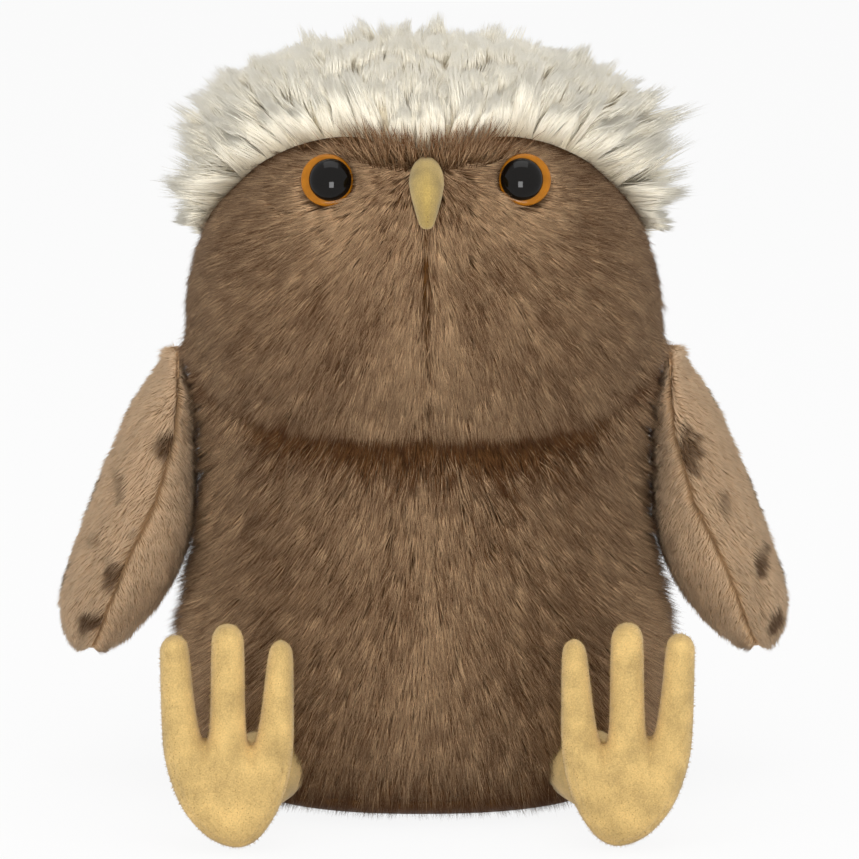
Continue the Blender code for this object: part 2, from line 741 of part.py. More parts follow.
def build_wings(parts, cutters, colours):
    """Each wing's spotted outer panel, plain inner panel and filling, hinged on its shoulder seam."""
    top_x, tip_x = (WING_ROWS[i][1] - WING_SPLIT_INSET for i in (0, -1))
    slope = (top_x - tip_x) / WING_HEIGHT
    for side, word in ((LEFT, "left"), (RIGHT, "right")):
        shoulder = Vector((side * (WING_ROWS[0][1] - SHOULDER_INSET), WING_Y, WING_TOP_Z))
        rings = wing_rings(side, SHORT_PILE, WING_FILLING_FIRST, WING_FILLING_LAST)
        name = f"cut_wing_{word}_hollow"
        hollow = cutter(name, closed_rings(name, rings), cutters)
        for panel_name, outward in (("outer", RIGHT), ("inner", LEFT)):
            rings = wing_rings(side, 0, 0, len(WING_ROWS))
            name = f"wing_{word}_{panel_name}"
            panel = place(name, closed_rings(name, rings), parts, colours["tan"], shoulder)
            planes = []
            for z in (-FAR, FAR):
                x = top_x + slope * (z - WING_TOP_Z) - outward * HALF_GAP
                near, far = side * x, side * (x + outward * FAR * 2)
                corners = (near, -FAR, z), (near, FAR, z), (far, FAR, z), (far, -FAR, z)
                planes.append([Vector(corner) for corner in corners])
            cut(panel, cutter(f"cut_{name}", closed_rings(name, planes), cutters), hollow)
        rings = wing_rings(side, SHORT_PILE + GAP, WING_FILLING_FIRST, WING_FILLING_LAST)
        for ring, lift in ((rings[0], -GAP), (rings[-1], GAP)):
            for point in ring:
                point.z += lift
        name = f"wing_{word}_stuffing"
        place(name, closed_rings(name, rings), parts, colours["fibre"], shoulder)


def foot_form(name, side, inset):
    """A foot as a filled outline curve with rounded edges, thinner towards the toes."""
    curve = bpy.data.curves.new(name, "CURVE")
    curve.dimensions = "2D"
    curve.fill_mode = "BOTH"
    curve.extrude = FOOT_HALF_THICKNESS - FOOT_ROUND
    curve.bevel_depth = FOOT_ROUND - inset
    curve.bevel_resolution = FOOT_ROUND_STEPS
    curve.offset = -FOOT_ROUND
    line = curve.splines.new("POLY")
    line.points.add(len(FOOT_OUTLINE) - 1)
    for point, (across, height) in zip(line.points, FOOT_OUTLINE):
        point.co = (across, height, 0, 1)
    line.use_cyclic_u = True
    holder = bpy.data.objects.new(name, curve)
    bpy.context.scene.collection.objects.link(holder)
    mesh = bpy.data.meshes.new_from_object(holder)
    bpy.data.objects.remove(holder)
    shape = bmesh.new()
    shape.from_mesh(mesh)
    bmesh.ops.remove_doubles(shape, verts=shape.verts, dist=MERGE)
    for point in shape.verts:
        across, height, forward = point.co
        share = (height - TOE_THIN_START) / (TOE_THIN_END - TOE_THIN_START)
        share = min(max(share, 0), 1)
        thin = 1 - (1 - TOE_THICKNESS_SHARE) * share * share * (3 - 2 * share)
        forward *= (FOOT_HALF_THICKNESS * thin - inset) / (FOOT_HALF_THICKNESS - inset)
        point.co = (side * (ANKLE_X + across), FOOT_Y - forward, FOOT_LIFT + height)
    bmesh.ops.recalc_face_normals(shape, faces=shape.faces)
    shape.to_mesh(mesh)
    shape.free()
    mesh.materials.clear()
    return mesh


def build_legs(parts, cutters, colours):
    """Leg stubs and feet; each foot turns on its ankle seam behind the heel."""
    whole = Skin(BASE_OUTER + BODY_ROWS[1:], BODY_POWER)
    around = turns(COVER_SEGMENTS)
    rings = []
    for where in np.linspace(0, whole.places[-1], COVER_SEGMENTS):
        rings.append([whole.inset(turn, where, -GAP) for turn in around])
    body_room = cutter("cut_leg_root", closed_rings("cut_leg_root", rings), cutters)
    ankle_y = FOOT_Y + FOOT_HALF_THICKNESS + GAP
    for side, word in ((LEFT, "left"), (RIGHT, "right")):
        ankle = Vector((side * ANKLE_X, ankle_y, ANKLE_Z))
        along = Vector((side * LEG_RUN[0], LEG_RUN[1], LEG_RUN[2]))
        facing = along.to_track_quat("Z", "Y").to_matrix()
        rings = []
        for distance, radius in LEG_ROWS:
            ring = []
            for turn in turns(LEG_SEGMENTS):
                angle = math.radians(turn)
                spoke = Vector((radius * math.cos(angle), radius * math.sin(angle), distance))
                ring.append(ankle + facing @ spoke)
            rings.append(ring)
        leg = place(f"leg_{word}", closed_rings("leg", rings), parts, colours["suede"])
        cut(leg, body_room)
        name = f"cut_foot_{word}_hollow"
        hollow = cutter(name, foot_form(name, side, SUEDE), cutters)
        for panel_name, front in (("sole", LEFT), ("top", RIGHT)):
            name = f"foot_{word}_{panel_name}"
            panel = place(name, foot_form(name, side, 0), parts, colours["suede"], ankle)
            near, far = FOOT_Y + front * -HALF_GAP, FOOT_Y + front * FAR
            corners = ((-FAR, near), (FAR, near), (FAR, far), (-FAR, far))
            cut(panel, cutter(f"cut_{name}", prism(name, corners, -FAR, FAR), cutters), hollow)
        name = f"foot_{word}_stuffing"
        place(name, foot_form(name, side, SUEDE + GAP), parts, colours["fibre"], ankle)


def main():
    """Build the owl."""
    clear_scene()
    parts = collection(OBJECT_NAME)
    cutters = collection("cutters")
    colours = {name: material(name, *values) for name, values in COLOURS.items()}
    head, body, neck, brow, panels = build_covers(parts, cutters, colours)
    build_crown(parts, colours, head, brow)
    filling = build_fillings(parts, colours, head, body, neck, brow)
    build_eyes(parts, cutters, colours, head, panels, filling)
    build_beak(parts, cutters, colours, head, brow)
    build_wings(parts, cutters, colours)
    build_legs(parts, cutters, colours)


main()
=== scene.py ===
"""Looks of a seated plush owl: padded skins, sewn pile laid fibre by fibre, glossy eyes and suede feet.

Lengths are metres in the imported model's frame: the owl faces -Y, +Z is up and +X is its own left.
A skin is given by two parameters, the turn about the upright axis and a place along its table of sections.
"""

import math

import bmesh
import bpy
import numpy as np
from bpy.props import FloatProperty, FloatVectorProperty, IntProperty, PointerProperty
from mathutils import Matrix, Vector


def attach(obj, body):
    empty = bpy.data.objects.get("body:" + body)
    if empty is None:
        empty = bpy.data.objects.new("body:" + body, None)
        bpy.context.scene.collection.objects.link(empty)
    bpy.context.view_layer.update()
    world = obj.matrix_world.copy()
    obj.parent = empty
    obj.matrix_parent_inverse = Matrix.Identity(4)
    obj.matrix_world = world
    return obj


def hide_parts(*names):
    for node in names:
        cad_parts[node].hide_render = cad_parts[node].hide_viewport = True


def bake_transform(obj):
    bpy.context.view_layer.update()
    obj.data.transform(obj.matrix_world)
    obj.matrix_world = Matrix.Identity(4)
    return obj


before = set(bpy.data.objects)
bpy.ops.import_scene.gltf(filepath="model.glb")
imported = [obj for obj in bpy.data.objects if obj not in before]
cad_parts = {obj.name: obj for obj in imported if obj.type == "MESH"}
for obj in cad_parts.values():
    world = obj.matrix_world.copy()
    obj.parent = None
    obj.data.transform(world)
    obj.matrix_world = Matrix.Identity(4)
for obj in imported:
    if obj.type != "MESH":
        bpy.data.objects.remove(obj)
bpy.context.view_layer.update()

bl_info = {
    "name": "Plush owl",
    "version": (1, 0, 0),
    "blender": (4, 5, 0),
    "location": "View3D > Sidebar > Plush owl",
    "description": "Builds the skins, pile, eyes, beak, wings and feet of a plush owl",
    "category": "Object",
}

MM = 0.001
LEFT = 1
RIGHT = -1
SIDES = ((LEFT, "left"), (RIGHT, "right"))

# Body, head, crown envelope: height, half width, reach to the front, reach to the back.
BODY_POWER = 2.3
BODY_ROWS = np.array((
    (0.0070, 0.0635, 0.0520, 0.0500), (0.0090, 0.0655, 0.0534, 0.0512), (0.0140, 0.0685, 0.0555, 0.0530),
    (0.0220, 0.0710, 0.0575, 0.0550), (0.0320, 0.0720, 0.0585, 0.0560), (0.0450, 0.0718, 0.0585, 0.0565),
    (0.0580, 0.0698, 0.0572, 0.0560), (0.0720, 0.0672, 0.0553, 0.0545), (0.0860, 0.0656, 0.0535, 0.0530),
    (0.1000, 0.0653, 0.0523, 0.0520), (0.1120, 0.0656, 0.0518, 0.0515), (0.1180, 0.0664, 0.0522, 0.0515),
    (0.1240, 0.0685, 0.0540, 0.0530), (0.1330, 0.0698, 0.0560, 0.0540),
))
BASE_ROWS = np.array((
    (0.0000, 0.0470, 0.0380, 0.0370), (0.0012, 0.0550, 0.0450, 0.0440), (0.0035, 0.0600, 0.0490, 0.0472),
    (0.0067, 0.0632, 0.0517, 0.0497), (0.0067, 0.0604, 0.0489, 0.0469), (0.0056, 0.0575, 0.0467, 0.0448),
    (0.0038, 0.0530, 0.0430, 0.0420), (0.0028, 0.0455, 0.0366, 0.0356),
))
HEAD_POWER = 2.5
HEAD_ROWS = np.array((
    (0.1080, 0.0645, 0.0508, 0.0498), (0.1140, 0.0660, 0.0520, 0.0510), (0.1200, 0.0675, 0.0532, 0.0522),
    (0.1260, 0.0688, 0.0548, 0.0533),
    (0.1340, 0.0700, 0.0562, 0.0542), (0.1430, 0.0703, 0.0568, 0.0545), (0.1520, 0.0694, 0.0567, 0.0535),
    (0.1600, 0.0673, 0.0560, 0.0517), (0.1680, 0.0640, 0.0550, 0.0490), (0.1760, 0.0590, 0.0537, 0.0455),
    (0.1840, 0.0525, 0.0519, 0.0410), (0.1910, 0.0468, 0.0493, 0.0362), (0.1970, 0.0405, 0.0453, 0.0310),
    (0.2020, 0.0330, 0.0383, 0.0250), (0.2060, 0.0230, 0.0273, 0.0173), (0.2085, 0.0115, 0.0135, 0.0085),
))
HEAD_TOP = 0.2093

# By the turn from the front in degrees: height of the neck seam, of the cuff under it, of the brow line, and of
# the crown's eave over that.
NECK_ROWS = np.array((
    (0, 0.1142), (25, 0.1150), (45, 0.1188), (58, 0.1245),
    (70, 0.1288), (90, 0.1295), (135, 0.1232), (180, 0.1200),
))
CUFF_ROWS = np.array(((0, 0.1130), (30, 0.1145), (60, 0.1180), (90, 0.1220), (135, 0.1200), (180, 0.1190)))
BROW_ROWS = np.array((
    (0, 0.1960), (12, 0.1975), (26, 0.1990), (42, 0.1980), (58, 0.1945), (76, 0.1870),
    (84, 0.1790), (90, 0.1720), (100, 0.1640), (115, 0.1590), (140, 0.1570), (180, 0.1570),
))
EAVE_ROWS = np.array((
    (0, 0.0060), (40, 0.0055), (62, 0.0030), (80, -0.0010), (100, -0.0030), (140, -0.0010), (180, -0.0010),
))
CROWN_ROWS = np.array((
    (0.1540, 0.0690, 0.0520, 0.0560), (0.1620, 0.0745, 0.0530, 0.0605), (0.1700, 0.0795, 0.0540, 0.0625),
    (0.1780, 0.0825, 0.0545, 0.0630), (0.1870, 0.0830, 0.0545, 0.0610), (0.1960, 0.0795, 0.0540, 0.0565),
    (0.2040, 0.0725, 0.0520, 0.0500), (0.2110, 0.0605, 0.0475, 0.0420), (0.2165, 0.0460, 0.0395, 0.0325),
    (0.2205, 0.0290, 0.0270, 0.0210), (0.2225, 0.0130, 0.0130, 0.0100),
))
CROWN_TOP = 0.2230
CROWN_EDGE = 0.16
WOOL_SHARE = 0.50
TOP_WOOL = 0.14
WOOL_CLOSES = 0.88
BACK_SEAM_Y = 0.0080
SIDE_SEAM_Y = 0.0020

# Wings: height, centre's offset, half thickness, half width; and the seam as height and offset.
WING_ROWS = np.array((
    (0.1305, 0.0720, 0.0013, 0.0040), (0.1285, 0.0729, 0.0028, 0.0090), (0.1240, 0.0738, 0.0040, 0.0135),
    (0.1180, 0.0748, 0.0074, 0.0170), (0.1100, 0.0770, 0.0101, 0.0200), (0.1000, 0.0791, 0.0122, 0.0225),
    (0.0900, 0.0814, 0.0144, 0.0245), (0.0800, 0.0835, 0.0161, 0.0255), (0.0700, 0.0866, 0.0167, 0.0255),
    (0.0610, 0.0901, 0.0162, 0.0240), (0.0530, 0.0933, 0.0145, 0.0210), (0.0460, 0.0961, 0.0113, 0.0165),
    (0.0410, 0.0981, 0.0070, 0.0110), (0.0385, 0.0988, 0.0028, 0.0050),
))
WING_Y = 0.0020
WING_TURN = 10.0
WING_SEAM = np.array((
    (0.0385, 0.0988), (0.0600, 0.0918), (0.0692, 0.0885), (0.0770, 0.0848),
    (0.0896, 0.0778), (0.1022, 0.0738), (0.1100, 0.0712), (0.1305, 0.0704),
))

# Beak: height, forward reach of the centre, half width, half depth.
BEAK_ROWS = np.array((
    (0.1757, 0.0596, 0.0012, 0.0014), (0.1766, 0.0594, 0.0020, 0.0028), (0.1785, 0.0588, 0.0027, 0.0046),
    (0.1815, 0.0580, 0.0036, 0.0068), (0.1850, 0.0566, 0.0045, 0.0088), (0.1880, 0.0550, 0.0049, 0.0096),
    (0.1905, 0.0530, 0.0045, 0.0090), (0.1925, 0.0510, 0.0034, 0.0074), (0.1938, 0.0496, 0.0018, 0.0050),
))

# Eyes.
EYE_X = 0.0280
EYE_Z = 0.1873
EYE_TURN = 2.0
EYE_LIFT = 14.0
EYE_SINK = 0.0016

# Feet: outline from the front as offset outward and height, and the leg stub behind.
ANKLE = (0.0562, -0.0685, 0.0140)
LEG_RUN = (-0.0165, 0.0385, 0.0025)
LEG_ROWS = np.array((
    (-0.0045, 0.0050), (-0.0035, 0.0066), (0.0000, 0.0076), (0.0060, 0.0088), (0.0120, 0.0101),
    (0.0190, 0.0109), (0.0280, 0.0112), (0.0400, 0.0110),
))
FOOT_Y = -0.0750
TOE_GAPS = ((0.0066, 0.0315), (-0.0063, 0.0302))
FOOT_LIFT = 0.0006
FOOT_OUTLINE = np.array((
    (-0.0022, 0.0000), (0.0045, 0.0020), (0.0098, 0.0066), (0.0138, 0.0125), (0.0165, 0.0195),
    (0.0182, 0.0270), (0.0188, 0.0350), (0.0190, 0.0440), (0.0191, 0.0540), (0.0189, 0.0585),
    (0.0172, 0.0610), (0.0145, 0.0618), (0.0121, 0.0605), (0.0110, 0.0575), (0.0101, 0.0480),
    (0.0091, 0.0390), (0.0079, 0.0330), (0.0066, 0.0315), (0.0055, 0.0340), (0.0050, 0.0430),
    (0.0047, 0.0560), (0.0043, 0.0615), (0.0027, 0.0642), (0.0002, 0.0650), (-0.0025, 0.0642),
    (-0.0042, 0.0615), (-0.0046, 0.0560), (-0.0047, 0.0430), (-0.0051, 0.0330), (-0.0063, 0.0302),
    (-0.0077, 0.0318), (-0.0090, 0.0380), (-0.0102, 0.0470), (-0.0112, 0.0550), (-0.0122, 0.0585),
    (-0.0144, 0.0602), (-0.0168, 0.0594), (-0.0181, 0.0570), (-0.0184, 0.0510), (-0.0184, 0.0410),
    (-0.0184, 0.0330), (-0.0177, 0.0240), (-0.0159, 0.0160), (-0.0126, 0.0085), (-0.0078, 0.0022),
))


def linear(code):
    """Turn an sRGB hex colour into linear values: c / 12.92 when dark, else ((c + 0.055) / 1.055) ^ 2.4."""
    shares = [int(code[i:i + 2], 16) / 255 for i in (0, 2, 4)]
    return tuple(c / 12.92 if c <= 0.04045 else ((c + 0.055) / 1.055) ** 2.4 for c in shares)


def colour(code, words):
    """A colour setting whose default is an sRGB hex value."""
    return FloatVectorProperty(
        name=words, description=words, subtype="COLOR", size=3, default=linear(code), min=0, max=1)


def length(value, words):
    """A length setting in metres."""
    return FloatProperty(name=words, description=words, default=value, min=0, unit="LENGTH", precision=5)


def number(count, name, words):
    """A count of fibres."""
    return IntProperty(name=name, description=words, default=count, min=1)


class OwlPile(bpy.types.PropertyGroup):
    """Sizes and counts of the pile."""

    long_pile: length(0.0050, "Depth of the brown pile")
    fibre_length: length(0.0105, "Length of a brown fibre")
    fibre_radius: length(0.00015, "Radius of a brown fibre at its root")
    crown_length: length(0.0300, "Length of a crown fibre")
    crown_radius: length(0.00017, "Radius of a crown fibre at its root")
    short_pile: length(0.0020, "Depth of the wings' pile")
    short_length: length(0.0038, "Length of a wing fibre")
    short_radius: length(0.00018, "Radius of a wing fibre at its root")
    nap_length: length(0.0007, "Length of the feet's nap")
    head_fibres: number(117000, "Head fibres", "Fibres on face and back of the head")
    body_fibres: number(123000, "Body fibres", "Fibres on the body")
    crown_fibres: number(39500, "Crown fibres", "Fibres of the crown")
    wing_fibres: number(32000, "Wing fibres", "Fibres on each wing")
    foot_fibres: number(6000, "Foot fibres", "Nap fibres on each foot")


class OwlColours(bpy.types.PropertyGroup):
    """Colours of the fabrics and the eyes."""

    brown_dark: colour("60360F", "Tips of the brown pile")
    brown_light: colour("ECC79C", "Frosted lengths of the brown pile")
    brown_root: colour("6E4820", "Roots of the brown pile")
    cream_light: colour("FFFAEC", "Tips of the crown")
    cream_root: colour("F4E6C8", "Roots of the crown")
    tan_light: colour("F6D8B4", "Light wing pile")
    tan_dark: colour("C8A074", "Dark wing pile")
    spot: colour("583A20", "Printed wing spots")
    suede: colour("C8A96D", "Suede of the feet")
    beak: colour("AA9154", "Suede of the beak")
    amber: colour("A2640E", "Amber of the eyes")
    pupil: colour("0A0705", "Black of the eyes")


def settings():
    """The scene's sizes and colours."""
    return bpy.context.scene.owl_pile, bpy.context.scene.owl_colours


# Numbers and surfaces


def noise_of(seed, *keys):
    """Even random numbers from whole-number keys, by a fixed integer hash."""
    mixed = np.full(np.shape(keys[0]), seed * 668265263 + 374761393, np.uint64)
    for key in keys:
        mixed = (mixed ^ np.asarray(key).astype(np.int64).astype(np.uint64)) * np.uint64(2246822519)
        mixed = (mixed ^ (mixed >> np.uint64(29))) * np.uint64(3266489917)
        mixed ^= mixed >> np.uint64(32)
    return (mixed & np.uint64(0xFFFFFF)).astype(float) / 0xFFFFFF


def smooth_noise(points, size, seed):
    """Value noise in space: corner numbers of a cubic grid of the given size, blended with 3t^2 - 2t^3."""
    place = points / size
    cell = np.floor(place).astype(np.int64)
    share = place - cell
    ease = share * share * (3 - 2 * share)
    total = np.zeros(points.shape[:-1])
    for corner in np.ndindex(2, 2, 2):
        weight = np.prod(np.where(corner, ease, 1 - ease), axis=-1)
        total += weight * noise_of(seed, *np.moveaxis(cell + corner, -1, 0))
    return total * 2 - 1


def tufts(points, size, seed):
    """Way from each point to the nearest of the jittered corners of a cubic grid, and that corner's key."""
    cell = np.floor(points / size)
    best = np.full(len(points), np.inf)
    way, key = np.zeros((len(points), 3)), np.zeros((len(points), 3))
    for step in np.ndindex(3, 3, 3):
        corner = cell + step - 1
        jitter = np.stack([noise_of(seed + i, *corner.T) for i in range(3)], -1)
        toward = (corner + jitter) * size - points
        gap = (toward**2).sum(-1)
        near = gap < best
        best = np.where(near, gap, best)
        way, key = np.where(near[:, None], toward, way), np.where(near[:, None], corner, key)
    return way, key


def unit(vectors):
    """Vectors brought to length one."""
    return vectors / np.maximum(np.linalg.norm(vectors, axis=-1, keepdims=True), 1e-12)


def ease(value, low, high):
    """A smooth step from 0 at low to 1 at high."""
    share = np.clip((value - low) / (high - low), 0, 1)
    return share * share * (3 - 2 * share)


def fine(rows, steps=12):
    """Rows joined by cubic curves whose slopes are the mean of the neighbouring differences."""
    slopes = np.gradient(rows, axis=0)
    share = np.linspace(0, 1, steps, endpoint=False)[:, None, None]
    lift = share * share * (3 - 2 * share)
    start, end = rows[None, :-1], rows[None, 1:]
    curve = start * (1 - lift) + end * lift
    curve = curve + slopes[None, :-1] * share * (1 - share) ** 2 - slopes[None, 1:] * share**2 * (1 - share)
    return np.vstack([curve.transpose(1, 0, 2).reshape(-1, rows.shape[1]), rows[-1:]])


def oval(rows, power, turn, place):
    """Points of oval sections: x = a |sin|^(2/p), y = -f |cos|^(2/p) in front and +r |cos|^(2/p) behind."""
    index = np.arange(len(rows))
    height, half, front, back = (np.interp(place, index, rows[:, i]) for i in range(4))
    sine, cosine = np.sin(turn), np.cos(turn)
    reach = np.where(cosine > 0, front, back)
    x = half * np.sign(sine) * np.abs(sine) ** (2 / power)
    y = -reach * np.sign(cosine) * np.abs(cosine) ** (2 / power)
    return np.stack(np.broadcast_arrays(x, y, height), -1)


def with_normal(surface, turn, share, facing=1):
    """A surface's points and outward normals, the normal from differences along both parameters."""
    step = 1e-3
    around = surface(turn + step, share) - surface(turn - step, share)
    along = surface(turn, share + step) - surface(turn, share - step)
    return surface(turn, share), unit(np.cross(around, along)) * facing


def level(vectors, normals):
    """Vectors with their part along the normals taken out."""
    return vectors - normals * (vectors * normals).sum(-1, keepdims=True)


def bump_at(value, centre, width):
    """The bell exp(-((v - c) / w)^2)."""
    return np.exp(-(((value - centre) / width) ** 2))


def from_front(turn):
    """Degrees that a turn lies away from the front, from 0 to 180."""
    return np.abs((np.degrees(turn) + 180) % 360 - 180)


FINE_HEAD, FINE_BODY, FINE_CROWN = fine(HEAD_ROWS), fine(BODY_ROWS), fine(CROWN_ROWS)
FINE_NECK, FINE_BROW, FINE_EAVE = fine(NECK_ROWS), fine(BROW_ROWS), fine(EAVE_ROWS)


def neck(turn):
    """Height of the neck seam at a turn."""
    return np.interp(from_front(turn), FINE_NECK[:, 0], FINE_NECK[:, 1])


def brow(turn):
    """Height of the brow line at a turn."""
    return np.interp(from_front(turn), FINE_BROW[:, 0], FINE_BROW[:, 1])


def place_at(rows, height):
    """The place on a table's curve that has a height."""
    return np.interp(height, rows[:, 0], np.arange(len(rows)))


def face_surface(turn, share):
    """The head's envelope, share 0 on the neck seam and 1 on the brow line."""
    height = neck(turn) + (brow(turn) - neck(turn)) * share
    return oval(FINE_HEAD, HEAD_POWER, turn, place_at(FINE_HEAD, height))


def cuff_surface(turn, share):
    """The head's envelope from its cuff inside the body's pile, share 0, up to the neck seam, share 1."""
    cuff = np.interp(from_front(turn), CUFF_ROWS[:, 0], CUFF_ROWS[:, 1])
    return oval(FINE_HEAD, HEAD_POWER, turn, place_at(FINE_HEAD, cuff + (neck(turn) - cuff) * share))


def scalp_surface(turn, share):
    """The head's envelope over the brow line, share 0 on the line and 1 at the crown of the head."""
    start = place_at(FINE_HEAD, brow(turn))
    return oval(FINE_HEAD, HEAD_POWER, turn, start + (len(FINE_HEAD) - 1 - start) * share)


def crown_surface(turn, share):
    """The crown's envelope: from the brow line straight out to the eave, then up its table to the top."""
    edge = brow(turn) + np.interp(from_front(turn), FINE_EAVE[:, 0], FINE_EAVE[:, 1])
    start = place_at(FINE_CROWN, edge)
    up = np.clip((share - CROWN_EDGE) / (1 - CROWN_EDGE), 0, 1)
    outer = oval(FINE_CROWN, HEAD_POWER, turn, start + (len(FINE_CROWN) - 1 - start) * up)
    root = scalp_surface(turn, np.zeros_like(share))
    out = np.clip(share / CROWN_EDGE, 0, 1)[..., None]
    return root + (outer - root) * out


def crown_wool(turn, share):
    """The crown's dense wool: k of the way from the scalp to the envelope, k rising from 0 on the brow line.

    From the share c on, its sections close on the axis by the factor 1 - ((share - c) / (1 - c))^2.
    """
    scalp = scalp_surface(turn, share)
    share = np.asarray(share, float)
    filled = ease(share, 0.0, 0.62) * (WOOL_SHARE + TOP_WOOL * ease(share, 0.45, 0.85))
    wool = scalp + (crown_surface(turn, share) - scalp) * filled[..., None]
    closing = 1 - (np.clip(share - WOOL_CLOSES, 0, 1 - WOOL_CLOSES) / (1 - WOOL_CLOSES)) ** 2
    return wool * np.stack(np.broadcast_arrays(closing, closing, 1.0), -1)


def crown_fill(points):
    """Under 1 inside the crown's envelope: (|x| / a)^p + (|y| / b)^p at the point's height, over 1 outside."""
    place = place_at(FINE_CROWN, points[:, 2])
    half, front, back = (np.interp(place, np.arange(len(FINE_CROWN)), FINE_CROWN[:, i]) for i in (1, 2, 3))
    reach = np.where(points[:, 1] < 0, front, back)
    filled = (np.abs(points[:, 0]) / half) ** HEAD_POWER + (np.abs(points[:, 1]) / reach) ** HEAD_POWER
    return np.where(points[:, 2] > CROWN_TOP, 2.0, filled)


def room_ahead(root, way, most=34):
    """How far along its way a fibre leaves the crown's envelope, found by steps of a millimetre."""
    room = np.full(len(root), most * MM)
    for step in range(most - 1, 0, -1):
        room = np.where(crown_fill(root + way * step * MM) > 1, step * MM, room)
    return room


def body_surface(turn, share):
    """The body's envelope, share 0 on the base seam and 1 on the neck seam."""
    height = BODY_ROWS[0, 0] + (neck(turn) - BODY_ROWS[0, 0]) * share
    return oval(FINE_BODY, BODY_POWER, turn, place_at(FINE_BODY, height))


def wing_surface(side):
    """A wing's envelope, share 0 at the tip: ellipses x = t sin, y = -w cos turned a little about the upright."""
    rows = fine(WING_ROWS)[::-1]
    index = np.linspace(0, 1, len(rows))
    cosine, sine = math.cos(math.radians(WING_TURN)), math.sin(math.radians(WING_TURN))

    def surface(turn, share):
        height, centre, thick, wide = (np.interp(share, index, rows[:, i]) for i in range(4))
        across, along = thick * np.sin(turn), -wide * np.cos(turn)
        x = centre + across * cosine + along * sine
        return np.stack(np.broadcast_arrays(side * x, WING_Y + along * cosine - across * sine, height), -1)

    return surface


def scatter(surface, count, seed, density=None):
    """Evenly spread places on a surface.

    A golden-ratio pair of sequences is carried through the running sums of a fine grid's cell areas,
    first along the shares and then around the turn, so that equal areas get equal counts.
    """
    shares, turns = np.linspace(0, 1, 241), np.linspace(-math.pi, math.pi, 481)
    grid = surface(turns[None, :], shares[:, None])
    area = np.linalg.norm(np.cross(grid[1:, :-1] - grid[:-1, :-1], grid[:-1, 1:] - grid[:-1, :-1]), axis=-1)
    if density is not None:
        area = area * density(grid[:-1, :-1])
    rows = area.sum(1)
    number = np.arange(count)
    first = (0.5 + seed * 0.37 + number * 0.7548776662) % 1
    second = (0.5 + seed * 0.61 + number * 0.5698402910) % 1
    share = np.interp(first, np.concatenate([[0], np.cumsum(rows)]) / rows.sum(), shares)
    row = np.minimum((share * len(rows)).astype(int), len(rows) - 1)
    sums = np.concatenate([np.zeros((len(rows), 1)), np.cumsum(area, 1) / rows[:, None]], 1)
    keys = (np.arange(len(rows))[:, None] * 2 + sums).ravel()
    turn = np.interp(row * 2 + second, keys, np.tile(turns, len(rows)))
    return turn, share


# Meshes


def make(name, points, faces, uv=None):
    """An object from points and index arrays, one array for each number of corners."""
    corners = np.concatenate([f.ravel() for f in faces]).astype(np.int32)
    sizes = np.concatenate([np.full(len(f), f.shape[1]) for f in faces])
    starts = np.concatenate([[0], np.cumsum(sizes)[:-1]]).astype(np.int32)
    mesh = bpy.data.meshes.new(name)
    mesh.vertices.add(len(points))
    mesh.vertices.foreach_set("co", np.ascontiguousarray(points, np.float32).ravel())
    mesh.loops.add(len(corners))
    mesh.loops.foreach_set("vertex_index", corners)
    mesh.polygons.add(len(sizes))
    mesh.polygons.foreach_set("loop_start", starts)
    mesh.update(calc_edges=True)
    if uv is not None:
        layer = mesh.uv_layers.new(name="OFBake")
        layer.data.foreach_set("uv", np.ascontiguousarray(uv[corners], np.float32).ravel())
    mesh.shade_smooth()
    made = bpy.data.objects.new(name, mesh)
    bpy.context.scene.collection.objects.link(made)
    return made


def loft(name, rings, first, last):
    """A closed skin through rings of points, each end closed on a pole; rings run counter-clockwise upwards."""
    count, around = rings.shape[:2]
    index = np.arange(count * around).reshape(count, around)
    after = np.roll(index, -1, 1)
    quads = np.stack([index[:-1], after[:-1], after[1:], index[1:]], -1).reshape(-1, 4)
    poles = count * around, count * around + 1
    start = np.stack([after[0], index[0], np.full(around, poles[0])], -1)
    end = np.stack([index[-1], after[-1], np.full(around, poles[1])], -1)
    points = np.vstack([rings.reshape(-1, 3), [first, last]])
    return make(name, points, [quads, np.vstack([start, end])])


def lathe(name, profile, place):
    """A profile of radii and heights turned about its axis, then laid in a frame."""
    profile = np.array(profile)
    turn = np.linspace(0, math.tau, 64, endpoint=False)
    rings = np.stack(np.broadcast_arrays(
        profile[1:-1, :1] * np.cos(turn), profile[1:-1, :1] * np.sin(turn), profile[1:-1, 1:]), -1)
    made = loft(name, rings, (0, 0, profile[0, 1]), (0, 0, profile[-1, 1]))
    made.data.transform(place)
    return made


